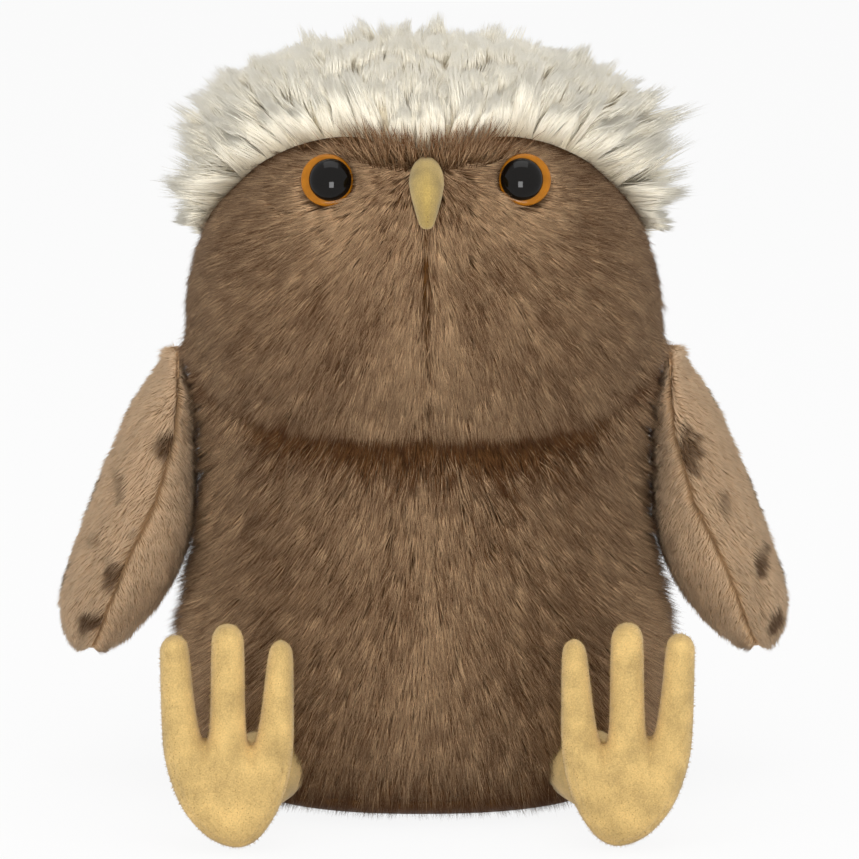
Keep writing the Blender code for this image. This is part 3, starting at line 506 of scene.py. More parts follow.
def fibres(name, root, bend, tip, radius, tone, steps, seed):
    """Tapered three-sided fibres.

    The middle line is (1-s)^2 root + 2s(1-s) bend + s^2 tip, the radius is r (1 - 0.55 s) until it closes
    on a point at s = 1. The UV map holds the fibre's tone across and the share of its length upwards.
    """
    count = len(root)
    share = np.arange(steps) / steps
    s = share[None, :, None]
    line = (1 - s) ** 2 * root[:, None] + 2 * s * (1 - s) * bend[:, None] + s**2 * tip[:, None]
    along = (1 - s) * (bend - root)[:, None] + s * (tip - bend)[:, None]
    spin = np.random.default_rng(seed).random(count) * math.tau
    helper = np.stack([np.cos(spin), np.sin(spin), np.cos(spin * 3)], -1)[:, None]
    side = unit(np.cross(along, np.broadcast_to(helper, along.shape)))
    up = unit(np.cross(along, side))
    angle = (np.arange(3) * math.tau / 3)[None, None, :, None]
    wide = (np.broadcast_to(radius, (count,))[:, None] * (1 - 0.55 * share))[:, :, None, None]
    rings = line[:, :, None] + wide * (np.cos(angle) * side[:, :, None] + np.sin(angle) * up[:, :, None])
    points = np.concatenate([rings.reshape(count, -1, 3), tip[:, None]], 1)
    size = steps * 3 + 1
    ring = np.arange(steps * 3).reshape(steps, 3)
    after = np.roll(ring, -1, 1)
    quads = np.stack([ring[:-1], after[:-1], after[1:], ring[1:]], -1).reshape(-1, 4)
    ends = np.stack([ring[-1], after[-1], np.full(3, size - 1)], -1)
    triangles = np.vstack([ends, [[0, 2, 1]]])
    offset = (np.arange(count) * size)[:, None, None]
    faces = [(group[None] + offset).reshape(-1, group.shape[1]) for group in (quads, triangles) if len(group)]
    uv = np.empty((count, size, 2))
    uv[:, :-1, 0] = tone[:, None] + np.tile([-0.004, 0, 0.004], steps)
    uv[:, :-1, 1] = (share[:, None] * 0.97 + [0.002, 0.014, 0.006]).ravel()
    uv[:, -1] = np.stack([tone, np.ones(count)], -1)
    return make(name, points.reshape(-1, 3), faces, uv.reshape(-1, 2))


def finish(piece, material, body, slot, *replaced):
    """Give a piece its material, its body (none for one that is blended) and the nodes it stands for; the slot is
    not used.
    """
    piece.data.materials.clear()
    piece.data.materials.append(material)
    if body:
        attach(piece, body)
    if replaced:
        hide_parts(*replaced)
    return piece


# Materials


def add(tree, kind, inputs=None, stops=None, **choices):
    """Add a shader node with its settings, its colour stops and its values or links."""
    made = tree.nodes.new("ShaderNode" + kind)
    for key, value in choices.items():
        setattr(made, key, value)
    if stops:
        ramp = made.color_ramp.elements
        ramp.remove(ramp[1])
        ramp[0].position, ramp[0].color = stops[0][0], (*stops[0][1], 1)
        for place, shade in stops[1:]:
            ramp.new(place).color = (*shade, 1)
    for key, value in (inputs or {}).items():
        if isinstance(value, bpy.types.NodeSocket):
            tree.links.new(value, made.inputs[key])
        else:
            made.inputs[key].default_value = value
    return made


def blank(name, **values):
    """A new material, its node tree and its Principled shader with plain values set on the sockets."""
    made = bpy.data.materials.new(name)
    made.use_nodes = True
    shader = made.node_tree.nodes["Principled BSDF"]
    for key, value in values.items():
        shader.inputs[key.replace("_", " ")].default_value = value
    return made, made.node_tree, shader


def scaled(shade, factor):
    """A colour made lighter or darker."""
    return tuple(min(c * factor, 1) for c in shade)


def mixed(first, second, share):
    """A colour between two others."""
    return tuple(a * (1 - share) + b * share for a, b in zip(first, second))


def pile_material(name, light_stops, dark_stops, roughness):
    """Knitted plush pile of crimped polyester fibres.

    Real fibres are 0.03 mm thick; here one stands for a small lock of them, so that it shows. The colour
    runs along the fibre, and the fibre's own tone leads from the light run to the dark run.
    """
    made, tree, shader = blank(name, Roughness=roughness, Specular_IOR_Level=0.25, IOR=1.53)
    place = add(tree, "UVMap", uv_map="OFBake")
    split = add(tree, "SeparateXYZ", {"Vector": place.outputs["UV"]})
    light = add(tree, "ValToRGB", {"Fac": split.outputs["Y"]}, light_stops)
    dark = add(tree, "ValToRGB", {"Fac": split.outputs["Y"]}, dark_stops)
    tone = add(tree, "Mix", {
        "Factor": split.outputs["X"], "A": light.outputs["Color"], "B": dark.outputs["Color"],
    }, data_type="RGBA")
    tree.links.new(tone.outputs[2], shader.inputs["Base Color"])
    return made


def cloth_material(name, low, high, grain_mm, depth_mm, roughness=0.95, stretch=(1, 1, 1), sheen=0.2):
    """Napped or underwoolly cloth: a mottle between two tones and a fine grain that also lifts the surface."""
    made, tree, shader = blank(name, Roughness=roughness, Specular_IOR_Level=0.2, IOR=1.5, Sheen_Weight=sheen)
    shader.inputs["Sheen Roughness"].default_value = 0.5
    where = add(tree, "TexCoord")
    turned = add(tree, "Mapping", {"Vector": where.outputs["Object"], "Scale": stretch})
    cloud = add(tree, "TexNoise", {"Vector": turned.outputs[0], "Scale": 1 / (8 * MM), "Detail": 3.0})
    grain = add(tree, "TexNoise", {
        "Vector": turned.outputs[0], "Scale": 1 / (grain_mm * MM), "Detail": 4.0, "Roughness": 0.65,
    })
    both = add(tree, "Math", {0: cloud.outputs["Fac"], 1: grain.outputs["Fac"]}, operation="ADD")
    half = add(tree, "Math", {0: both.outputs[0], 1: 0.5}, operation="MULTIPLY")
    ramp = add(tree, "ValToRGB", {"Fac": half.outputs[0]}, ((0.36, low), (0.64, high)))
    tree.links.new(ramp.outputs["Color"], shader.inputs["Base Color"])
    bump = add(tree, "Bump", {"Height": grain.outputs["Fac"], "Distance": depth_mm * MM, "Strength": 1.0})
    tree.links.new(bump.outputs["Normal"], shader.inputs["Normal"])
    return made


def moulded(name, shade, roughness):
    """Moulded acrylic or nylon: one colour with faint clouding; a studio's haze keeps its mirror gloss low."""
    made, tree, shader = blank(name, Roughness=roughness, IOR=1.49, Specular_IOR_Level=0.2)
    where = add(tree, "TexCoord")
    cloud = add(tree, "TexNoise", {"Vector": where.outputs["Object"], "Scale": 1 / (3 * MM), "Detail": 2.0})
    stops = ((0.3, scaled(shade, 0.86)), (0.7, scaled(shade, 1.08)))
    ramp = add(tree, "ValToRGB", {"Fac": cloud.outputs["Fac"]}, stops)
    tree.links.new(ramp.outputs["Color"], shader.inputs["Base Color"])
    return made


def made_once(name, maker):
    """A material by name, made when first asked for."""
    return bpy.data.materials.get(name) or maker(name)


def brown_pile():
    """Frosted brown plush: fibres dark at the root, partly painted shade deep in the pile, grey-beige along the
    middle and dark at the tip.
    """
    _, shades = settings()
    root, light, dark = tuple(shades.brown_root), tuple(shades.brown_light), tuple(shades.brown_dark)
    pale = (
        (0.0, root), (0.22, mixed(root, light, 0.6)), (0.45, light), (0.78, mixed(light, dark, 0.25)), (1.0, dark),
    )
    deep = ((0.0, scaled(root, 0.7)), (0.4, mixed(root, dark, 0.4)), (0.7, dark), (1.0, scaled(dark, 0.8)))
    return made_once("frosted_brown_plush_pile", lambda name: pile_material(name, pale, deep, 0.7))


def cream_pile():
    """Cream plush: fibres a little warmer and darker at the root than at the tip, partly painted shade deep in the
    pile.
    """
    _, shades = settings()
    root, light = tuple(shades.cream_root), tuple(shades.cream_light)
    pale = ((0.0, root), (0.3, mixed(root, light, 0.7)), (0.7, light), (1.0, light))
    deep = ((0.0, scaled(root, 0.8)), (0.5, mixed(root, light, 0.35)), (1.0, mixed(root, light, 0.7)))
    return made_once("cream_plush_pile", lambda name: pile_material(name, pale, deep, 0.6))


def tan_pile():
    """Short tan plush with printed dark spots; fibres darker at the root, partly painted shade deep in the pile."""
    _, shades = settings()
    light, dark, spot = tuple(shades.tan_light), tuple(shades.tan_dark), tuple(shades.spot)
    pale = ((0.0, dark), (0.5, mixed(light, dark, 0.3)), (1.0, light))
    deep = ((0.0, scaled(spot, 0.8)), (0.5, spot), (1.0, mixed(spot, dark, 0.15)))
    return made_once("short_tan_plush_pile", lambda name: pile_material(name, pale, deep, 0.75))


def suede_cloth():
    """Napped polyester suede of the feet: matt, with a soft mottle from the brushed nap."""
    shade = tuple(settings()[1].suede)
    return made_once("napped_yellow_suede", lambda name: cloth_material(
        name, scaled(shade, 0.70), scaled(shade, 1.26), 0.45, 0.10))


# Pile


def comb(points, normals, flow, lift, reach, seed, tuft):
    """Directions and lengths of fibres that lean along a flow.

    Fibres of one tuft share a turn about the normal, a lift and a length, and each strays a little from them.
    """
    rng = np.random.default_rng(seed)
    count = len(points)
    way, key = tufts(points, tuft, seed)
    turned, raised, longer = (noise_of(seed + i, *key.T) - 0.5 for i in (3, 4, 5))
    angle = turned * 0.42 + rng.normal(0, 0.13, count)
    flow = unit(level(flow, normals))
    flow = flow * np.cos(angle)[:, None] + np.cross(normals, flow) * np.sin(angle)[:, None]
    lift = lift * (1 + raised * 0.5 + rng.normal(0, 0.13, count))
    reach = reach * (1 + longer * 0.3 + rng.normal(0, 0.08, count))
    return flow, lift, reach, level(way, normals), noise_of(seed + 6, *key.T) - 0.5


def lay(points, normals, flow, depth, reach, lift, tone, seed, tuft, gather):
    """Root, bend, tip and tone of fibres that start at a depth under the envelope and draw to their tufts."""
    flow, lift, reach, middle, shade = comb(points, normals, flow, lift, reach, seed, tuft)
    root = points - normals * np.broadcast_to(depth, (len(points),))[:, None]
    rise, run = np.sin(lift) * reach, np.cos(lift) * reach
    bend = root + normals * (rise * 0.75)[:, None] + flow * (run * 0.35)[:, None] + middle * (gather * 0.3)
    tip = root + normals * rise[:, None] + flow * run[:, None] + middle * gather
    stray = np.random.default_rng(seed + 7).normal(0, 0.30, len(points))
    return root, bend, tip, np.clip(tone + shade * 0.26 + stray, 0.02, 0.98)


def eye_frame(side):
    """An eye's frame: origin on the head's envelope, sunk a little, and the axis out of the head."""
    place = place_at(FINE_HEAD, EYE_Z)
    half = np.interp(place, np.arange(len(FINE_HEAD)), FINE_HEAD[:, 1])
    turn = math.asin((EYE_X / half) ** (HEAD_POWER / 2))
    across, lift = math.radians(EYE_TURN), math.radians(EYE_LIFT)
    axis = Vector((math.sin(across) * math.cos(lift), -math.cos(across) * math.cos(lift), math.sin(lift)))
    origin = Vector(oval(FINE_HEAD, HEAD_POWER, np.array(turn), place)) - axis * EYE_SINK
    facing = Matrix.Translation(origin) @ axis.to_track_quat("Z", "Y").to_matrix().to_4x4()
    if side == LEFT:
        return facing
    flip = Matrix.Diagonal((-1, 1, 1, 1))
    return flip @ facing @ flip


def beyond_eyes(root, flow, run):
    """Shorten fibres that would run over an eye, and tell which start under one.

    In the plane of an eye the way from a fibre's root to the rim's circle is the smaller root of
    |q + t d| = r, and the fibre stops there.
    """
    keep = np.ones(len(root), bool)
    for side, _ in SIDES:
        facing = np.array(eye_frame(side))
        across, up, origin = facing[:3, 0], facing[:3, 1], facing[:3, 3]
        q = np.stack([(root - origin) @ across, (root - origin) @ up], -1)
        d = np.stack([flow @ across, flow @ up], -1)
        size = np.linalg.norm(q, axis=-1)
        close = np.linalg.norm(root - origin, axis=-1) < 26 * MM
        keep &= ~(close & (size < 7.3 * MM))
        toward = (q * d).sum(-1)
        inside = toward**2 - size**2 + (6.7 * MM) ** 2
        stop = -toward - np.sqrt(np.maximum(inside, 0))
        hits = close & (toward < 0) & (inside > 0)
        run = np.where(hits, np.minimum(run, np.maximum(stop, 1.0 * MM)), run)
    return keep, run


def skin_rings(surface, shares, turns, depth, facing=1):
    """Rings of a skin that lies at a depth under an envelope."""
    points, normals = with_normal(surface, *np.meshgrid(turns, shares), facing)
    return points - normals * np.broadcast_to(depth, points.shape[:2])[..., None]


def around(count):
    """Turns of a ring's points."""
    return np.linspace(-math.pi, math.pi, count, endpoint=False)


def underwool(name, shade):
    """Knitted backing seen between fibres: loops 1.2 mm wide, as dark as the pile's shadow leaves them."""
    return made_once(name, lambda word: cloth_material(word, scaled(shade, 0.6), shade, 1.2, 0.4))


class OWL_OT_head(bpy.types.Operator):
    """Build the padded head and the brown pile of its face and back"""

    bl_idname = "owl.head"
    bl_label = "Head and its pile"

    def execute(self, context):
        """Skin first, then fibres that run outward from the beak and part on the middle seam."""
        pile, shades = settings()
        turns = around(160)
        rings = np.vstack([
            skin_rings(cuff_surface, np.linspace(0, 1, 6, endpoint=False), turns, pile.long_pile),
            skin_rings(face_surface, np.linspace(0, 1, 40), turns, pile.long_pile),
            skin_rings(scalp_surface, np.linspace(0.06, 0.97, 22), turns, pile.long_pile),
        ])
        skin = loft("head_skin", rings, (0, 0, rings[0, :, 2].mean()), (0, 0, HEAD_TOP - pile.long_pile))
        finish(skin, underwool("brown_underwool_knit", tuple(shades.brown_root)), "torso", "brown_pile")

        turn, share = scatter(face_surface, pile.head_fibres, 3, lambda p: np.where(p[..., 1] < 0.010, 1.3, 0.6))
        points, normals = with_normal(face_surface, turn, share)
        x, y, z = points.T
        front = y < 0
        up, down = z - neck(turn), brow(turn) - z
        flow = points - [0, -0.056, 0.188] + [0, 0, -0.012]
        flow[:, 0] += np.sign(x) * 0.009 * bump_at(x, 0, 0.012) * ease(-z, -0.182, -0.168)
        tone = 0.45 + 0.13 * smooth_noise(points, 11 * MM, 5) + 0.05 * smooth_noise(points, 4 * MM, 6)
        swing, away = np.arctan2(x, 0.188 - z), np.hypot(x, z - 0.188)
        tone += 0.16 * smooth_noise(np.stack([swing * 14, away / (14 * MM), z * 0], -1), 1.0, 9)
        tone += 0.40 * bump_at(down, 0, 0.0018) * front
        # Painted light: the face pile is made lighter towards its sides, where the fibres get less light.
        tone -= 0.34 * ease(np.abs(x), 0.044, 0.066) * front
        # Painted shade: darker along the neck seam, the crease under the head's overhanging pile.
        tone += 0.60 * bump_at(up, 0, 0.0030) + 0.18 * bump_at(up, 0, 0.009) * ease(np.abs(x), 0.010, 0.030)
        tone -= 0.22 * bump_at(np.abs(x), 0.0045, 0.004) * ease(-z, -0.178, -0.168) * front
        tone += 0.30 * bump_at(x, 0, 0.0012) * ease(-z, -0.172, -0.165) * front
        tone -= 0.20 * bump_at(np.abs(x), 0.028, 0.012) * bump_at(z, 0.1765, 0.006) * front
        tone -= 0.20 * bump_at(np.abs(x), 0.017, 0.006) * bump_at(z, 0.183, 0.010) * front
        tone -= 0.28 * bump_at(np.abs(x), 0.044, 0.0035) * bump_at(z, 0.128, 0.009) * front
        for side, _ in SIDES:
            away = np.linalg.norm(points - np.array(eye_frame(side))[:3, 3], axis=-1)
            tone -= 0.20 * bump_at(away, 0.0105, 0.0030)
        reach = pile.fibre_length * (1 - 0.40 * ease(z, 0.168, 0.184) * front * bump_at(x, 0, 0.045))
        shoulder = bump_at(up, 0, 0.012) * ease(np.abs(x), 0.058, 0.066)
        lift = 24 - 9 * ease(np.abs(x), 0.050, 0.064) + 10 * bump_at(up, 0.004, 0.005) * front + 12 * shoulder
        lift = np.radians(lift)
        depth = pile.long_pile - 0.4 * MM + 0.0014 * bump_at(up, 0, 0.003)
        depth = depth + 0.0012 * bump_at(x, 0, 0.0018) * front
        flow = unit(level(flow, normals))
        rises = np.maximum(np.abs(flow[:, 2]), 0.2)
        over = 3.5 * MM - 2.0 * MM * bump_at(x, 0, 0.012)
        reach = np.where(flow[:, 2] > 0.2, np.minimum(reach, (down + over) / rises), reach)
        reach = np.where(flow[:, 2] < -0.2, np.minimum(reach, (up + 3.7 * MM) / rises), reach)
        keep, reach = beyond_eyes(points, flow, reach)
        keep &= ~(((x / 0.0048) ** 2 + ((z - 0.186) / 0.0080) ** 2 < 0.7) & front)
        root, bend, tip, tone = lay(points, normals, flow, depth, reach, lift, tone, 11, 2.8 * MM, 0.5)
        before = y < BACK_SEAM_Y
        panels = (("face_left", before & (x >= 0)), ("face_right", before & (x < 0)), ("head_back", ~before))
        for name, mask in panels:
            mask = mask & keep
            piece = fibres(f"{name}_pile", root[mask], bend[mask], tip[mask], pile.fibre_radius, tone[mask], 1, 7)
            finish(piece, brown_pile(), "torso", "brown_pile", name)

        rng = np.random.default_rng(17)
        count = 9000
        turn, share = np.radians(rng.uniform(-104, 104, count)), 1 - np.abs(rng.normal(0, 0.005, count))
        points, normals = with_normal(face_surface, turn, share)
        upward = unit(points - face_surface(turn, share - 0.03)) + rng.normal(0, 0.22, (count, 3))
        run = rng.uniform(3.6, 6.0, count)[:, None] * MM * (1 - 0.5 * bump_at(turn, 0, 0.25))[:, None]
        root = points - normals * 3.2 * MM
        bend = root + normals * 2.4 * MM + upward * run * 0.3
        piece = fibres("brow_rim", root, bend, root + upward * run + normals * 2.8 * MM, pile.fibre_radius,
                       np.clip(rng.normal(0.86, 0.12, count), 0.02, 0.98), 1, 8)
        finish(piece, brown_pile(), "torso", "brown_pile")

        count = 900
        turn, share = np.radians(rng.normal(0, 13, count)), rng.uniform(0.93, 1.0, count)
        points, normals = with_normal(face_surface, turn, share)
        outward = points[:, 0] * 30 + rng.normal(0, 0.35, count)
        lean = np.stack([outward, rng.uniform(-0.5, -0.1, count), np.ones(count)], -1)
        lean = unit(lean) * (rng.uniform(5.5, 11, count) * MM)[:, None]
        root = points - normals * 3 * MM
        piece = fibres("brow_wisps", root, root + lean * 0.5 + normals * 2 * MM, root + lean + normals * 2 * MM,
                       pile.fibre_radius * 0.8, np.clip(rng.normal(0.7, 0.2, count), 0.02, 0.98), 2, 8)
        finish(piece, brown_pile(), "torso", "brown_pile")
        return {"FINISHED"}


class OWL_OT_body(bpy.types.Operator):
    """Build the padded body, its base and their brown pile"""

    bl_idname = "owl.body"
    bl_label = "Body and its pile"

    def execute(self, context):
        """Skin and base first, then fibres that run down and fan outward."""
        pile, shades = settings()
        under = underwool("brown_underwool_knit", tuple(shades.brown_root))
        turns = around(160)
        rings = skin_rings(body_surface, np.linspace(0, 1, 60), turns, pile.long_pile)
        skin = loft("body_skin", rings, (0, 0, rings[0, :, 2].mean()), (0, 0, rings[-1, :, 2].mean()))
        finish(skin, under, "torso", "brown_pile")
        rings = oval(BASE_ROWS, BODY_POWER, turns[None, :], np.arange(len(BASE_ROWS))[:, None])
        base = loft("base_cloth", rings, (0, 0, BASE_ROWS[0, 0]), (0, 0, BASE_ROWS[-1, 0]))
        finish(base, under, "torso", "brown_pile", "base_panel")

        turn, share = scatter(body_surface, pile.body_fibres, 5, lambda p: np.where(p[..., 1] < 0.004, 1.35, 0.6))
        share = share * 1.030
        points, normals = with_normal(body_surface, turn, share)
        x, y, z = points.T
        front = y < 0
        down = neck(turn) - z
        fan = np.interp(z, (0.005, 0.030, 0.060, 0.085, 0.115), (18, 40, 56, 56, 44))
        fan = np.radians(fan) * np.sign(x) * (np.abs(x) / 0.068) ** 0.8
        flow = np.stack([np.sin(fan), np.where(front, 0.0, 0.1), -np.cos(fan)], -1)
        flow[:, 1] += ease(np.abs(x), 0.050, 0.072) * 0.5
        tone = 0.46 + 0.12 * smooth_noise(points, 12 * MM, 15) + 0.05 * smooth_noise(points, 4 * MM, 16)
        spread = x * (1 - 0.35 * (0.115 - z) / 0.115)
        tone += 0.16 * smooth_noise(np.stack([spread / (3 * MM), z / (15 * MM), x * 0], -1), 1.0, 18)
        # Painted shade: darker just under the neck seam, below the head's overhanging pile.
        tone += 0.34 * bump_at(down, 0.002, 0.010) + 0.50 * bump_at(down, 0.001, 0.0050)
        # Painted light: the body pile is made lighter towards its sides, where the fibres get less light.
        tone -= 0.30 * ease(np.abs(x), 0.044, 0.066) * front
        tone += 0.50 * ease(-z, -0.026, -0.008)
        tone -= 0.26 * bump_at(x, 0, 0.007) * bump_at(z, 0.050, 0.026) * front
        reach = pile.fibre_length * (1.1 - 0.35 * bump_at(down, 0, 0.006))
        shoulder = bump_at(down, 0, 0.014) * ease(np.abs(x), 0.054, 0.062)
        crease = 0.5 * bump_at(down, 0, 0.006) * (1 - shoulder)
        lift = np.radians(23 + 12 * ease(np.abs(x), 0.056, 0.064)) * (1 - crease)
        lift = lift + np.radians(16) * shoulder
        depth = pile.long_pile - 0.4 * MM + 0.0006 * bump_at(down, 0, 0.004)
        root, bend, tip, tone = lay(points, normals, flow, depth, reach, lift, tone, 21, 3.0 * MM, 0.5)
        floor = np.random.default_rng(23).uniform(1.0, 3.0, len(x)) * MM
        tip = tip + unit(points * [1, 1, 0]) * (ease(-z, -0.022, -0.010) * 3.0 * MM)[:, None]
        tip[:, 2] = np.maximum(tip[:, 2], floor)
        bend[:, 2] = np.maximum(bend[:, 2], floor + 1 * MM)
        before = y < SIDE_SEAM_Y
        for name, stands_for, mask in (
            ("body_front_pile_left", ["body_front"], before & (x >= 0)),
            ("body_front_pile_right", [], before & (x < 0)),
            ("body_back_pile", ["body_back"], ~before),
        ):
            piece = fibres(name, root[mask], bend[mask], tip[mask], pile.fibre_radius, tone[mask], 1, 9)
            finish(piece, brown_pile(), "torso", "brown_pile", *stands_for)
        return {"FINISHED"}


class OWL_OT_crown(bpy.types.Operator):
    """Build the standing cream pile of the crown in locks"""

    bl_idname = "owl.crown"
    bl_label = "Crown"

    def execute(self, context):
        """A dense woolly core, then fibres that fan out of it and draw together into pointed locks."""
        pile, shades = settings()
        turns = around(200)
        shares = np.concatenate([np.linspace(0, 0.3, 16, endpoint=False), np.linspace(0.3, 0.985, 50)])
        outer = skin_rings(crown_wool, shares, turns, 4 * MM * (1 - ease(shares, 0.0, 0.12))[:, None])
        lumps = smooth_noise(outer, 7 * MM, 27) * 1.0 * MM + smooth_noise(outer, 2.5 * MM, 28) * 0.4 * MM
        outer = outer + unit(outer - [0, 0, 0.165]) * (lumps * ease(shares, 0.02, 0.2)[:, None])[..., None]
        inner = skin_rings(scalp_surface, np.linspace(0.9, 0, 16), turns, 6.5 * MM)
        rings = np.vstack([inner, outer])
        bottom, top = inner[0, :, 2].mean(), outer[-1, :, 2].mean() + 0.2 * MM
        core = loft("crown_wool", rings, (0, 0, bottom), (0, 0, top))
        # Painted shade: the wool is darker than the crown's roots, as the shade deep in the crown.
        wool = made_once("cream_underwool_knit", lambda word: cloth_material(
            word, scaled(tuple(shades.cream_root), 0.62), scaled(tuple(shades.cream_root), 0.85), 1.2, 0.4))
        finish(core, wool, "torso", "white_pile", "crown")

        turn, share = scatter(crown_wool, pile.crown_fibres, 8,
                              lambda p: np.where(p[..., 1] < 0.005, 1.4, 0.75) * (1 + 0.9 * (p[..., 2] > 0.208)))
        rng = np.random.default_rng(31)
        fringe = pile.crown_fibres // 6
        turn = np.concatenate([turn, rng.uniform(-1.75, 1.75, fringe)])
        share = np.concatenate([share, np.abs(rng.normal(0, 0.030, fringe))])
        share = share ** np.where(np.abs(turn) < 1.75, 1.15, 1.0)
        points, normals = with_normal(crown_wool, turn, share)
        x, y, z = points.T
        count = len(x)
        lock_way, lock = tufts(points, 6.5 * MM, 41)
        wisp_way, wisp = tufts(points, 2.2 * MM, 45)
        in_lock = [noise_of(50 + i, *lock.T) - 0.5 for i in range(4)]
        in_wisp = [noise_of(60 + i, *wisp.T) - 0.5 for i in range(4)]
        focus = 0.148 + 0.020 * ease(np.abs(x), 0.045, 0.066)
        fan = np.arctan2(np.abs(x), np.maximum(z - focus, 1 * MM)) * (0.55 + 0.45 * ease(np.abs(x), 0.008, 0.042))
        fan = fan * np.sign(x) + in_lock[0] * 0.55 + in_wisp[0] * 0.12 + rng.normal(0, 0.05, count)
        behind = ease(y, 0.004, 0.048)
        tilt = -0.05 * ease(-y, 0.0, 0.035) + 0.85 * behind + in_lock[1] * 0.35 + in_wisp[1] * 0.15
        rise = np.cos(fan) * (1 - 1.75 * behind)
        first = unit(np.stack([np.sin(fan) * (1 - 0.3 * behind), tilt - 0.10, rise], -1))
        last = unit(np.stack([np.sin(fan) * (1 - 0.3 * behind), tilt * 0.6 + 0.30, rise], -1))
        low = bump_at(share, 0, 0.10)
        first = unit(first + normals * np.maximum(0, 0.28 - 0.10 * low - (first * normals).sum(-1))[:, None])
        last = unit(last + normals * np.maximum(0, 0.05 - (last * normals).sum(-1))[:, None])
        way = unit(first * 0.35 + last * 0.65)
        reach = np.minimum(room_ahead(points, way), pile.crown_length * (1 - 0.35 * behind))
        flank = ease(np.abs(way[:, 0]), 0.35, 0.85) * ease(-z, -0.200, -0.185)
        grown = 0.88 + 0.56 * (in_lock[2] + 0.5) ** 3 + in_wisp[2] * 0.12 + rng.normal(0, 0.05, count)
        grown = grown * (1 - 0.42 * np.clip(np.linalg.norm(lock_way, axis=-1) / (4.6 * MM), 0, 1))
        over = 1.5 * MM + 3.0 * MM * (in_lock[2] + 0.5) ** 2 * ease(z, 0.204, 0.214)
        reach = reach * grown * (1 - 0.22 * flank) + over
        root = points - normals * 0.8 * MM
        pull = level(lock_way, way) * 0.86 + level(wisp_way, way) * 0.14
        bend = root + first * (reach * 0.5)[:, None] + pull * 0.20
        tip = root + way * reach[:, None] + pull * np.clip(reach / (14 * MM), 0.2, 1)[:, None]
        tone = 0.06 + in_lock[3] * 0.14 + in_wisp[3] * 0.16 + rng.normal(0, 0.10, count)
        tone += 0.12 * bump_at(share, 0, 0.06) + 0.12 * bump_at(x, 0, 0.012) * (y < 0)
        tone = np.clip(tone, 0.02, 0.98)
        for name, mask in (
            ("crown_front_left", (x >= 0) & (y < 0)), ("crown_front_right", (x < 0) & (y < 0)),
            ("crown_back_left", (x >= 0) & (y >= 0)), ("crown_back_right", (x < 0) & (y >= 0)),
        ):
            piece = fibres(name, root[mask], bend[mask], tip[mask], pile.crown_radius, tone[mask], 2, 13)
            finish(piece, cream_pile(), "torso", "white_pile")
        return {"FINISHED"}


class OWL_OT_eyes(bpy.types.Operator):
    """Build both eyes as an amber disc with a black dome"""

    bl_idname = "owl.eyes"
    bl_label = "Eyes"

    def execute(self, context):
        """Both pieces are turned profiles in the eye's frame."""
        _, shades = settings()
        amber = moulded("moulded_amber_acrylic", tuple(shades.amber), 0.12)
        black = moulded("polished_black_acrylic", tuple(shades.pupil), 0.04)
        angle = np.linspace(0, math.pi / 2, 18)
        disc = [(0, -14.0), (2.0, -14.0), (2.0, -2.0), (6.9, -2.0), (7.3, -1.5), (7.4, -0.6), (7.4, 0.0)]
        disc += [(6.2 + 1.2 * math.cos(a), 0.05 + 0.95 * math.sin(a)) for a in angle]
        disc += [(5.0, 1.05), (0, 1.05)]
        dome = [(0, 0.6), (5.9, 0.6), (6.0, 0.8)]
        dome += [(6.05 * math.cos(a), 0.95 + 3.7 * math.sin(a)) for a in angle]
        for side, word in SIDES:
            facing = eye_frame(side)
            inward = Matrix.Translation((-side * 0.95 * MM, 0, 0))
            ring = lathe(f"eye_disc_{word}", np.array(disc) * MM, facing)
            finish(ring, amber, "torso", "amber_plastic", f"eye_{word}")
            finish(lathe(f"eye_dome_{word}", np.array(dome) * MM, inward @ facing), black, "torso", "black_plastic",
                   f"pupil_{word}")
        return {"FINISHED"}


class OWL_OT_beak(bpy.types.Operator):
    """Build the suede beak with its ridge seam"""

    bl_idname = "owl.beak"
    bl_label = "Beak"

    def execute(self, context):
        """Ovals drawn out to a ridge in front: depth grows by k exp(-(x / 0.2 w)^2), with a groove in it."""
        _, shades = settings()
        shade = tuple(shades.beak)
        suede = cloth_material("napped_beak_suede", scaled(shade, 0.66), scaled(shade, 1.30), 0.45, 0.12)
        rows = fine(BEAK_ROWS, 6)
        turn = np.linspace(0, math.tau, 72, endpoint=False)
        height, reach, wide, deep = (rows[:, i, None] for i in range(4))
        x = wide * np.sin(turn)
        ridge = 0.12 * bump_at(np.sin(turn), 0, 0.40) - 0.05 * bump_at(np.sin(turn), 0, 0.08)
        y = -reach - deep * np.cos(turn) * (1 + ridge * (np.cos(turn) > 0))
        rings = np.stack(np.broadcast_arrays(x, y, height), -1)
        beak = loft("beak_cover", rings, rings[0].mean(0) - [0, 0, 0.0003], rings[-1].mean(0) + [0, 0, 0.0002])
        finish(beak, suede, "torso", "beak_suede", "beak_left", "beak_right")
        thread = made_once("brown_sewing_thread", lambda word: cloth_material(
            word, scaled(linear("6A4A22"), 0.8), linear("7E5C30"), 0.3, 0.05))
        height = np.linspace(0.1785, 0.1915, 9)
        reach, deep = (np.interp(height, rows[:, 0], rows[:, i]) for i in (1, 3))
        root = np.stack([height * 0 + 0.00005, -reach - deep * 1.03, height], -1)
        tip = root + [0.0003, -0.00022, -0.0006]
        bend = (root + tip) / 2 + [0, -0.0002, 0]
        stitches = fibres("beak_stitches", root, bend, tip, 0.00016, np.full(9, 0.5), 3, 5)
        finish(stitches, thread, "torso", "beak_suede")
        return {"FINISHED"}


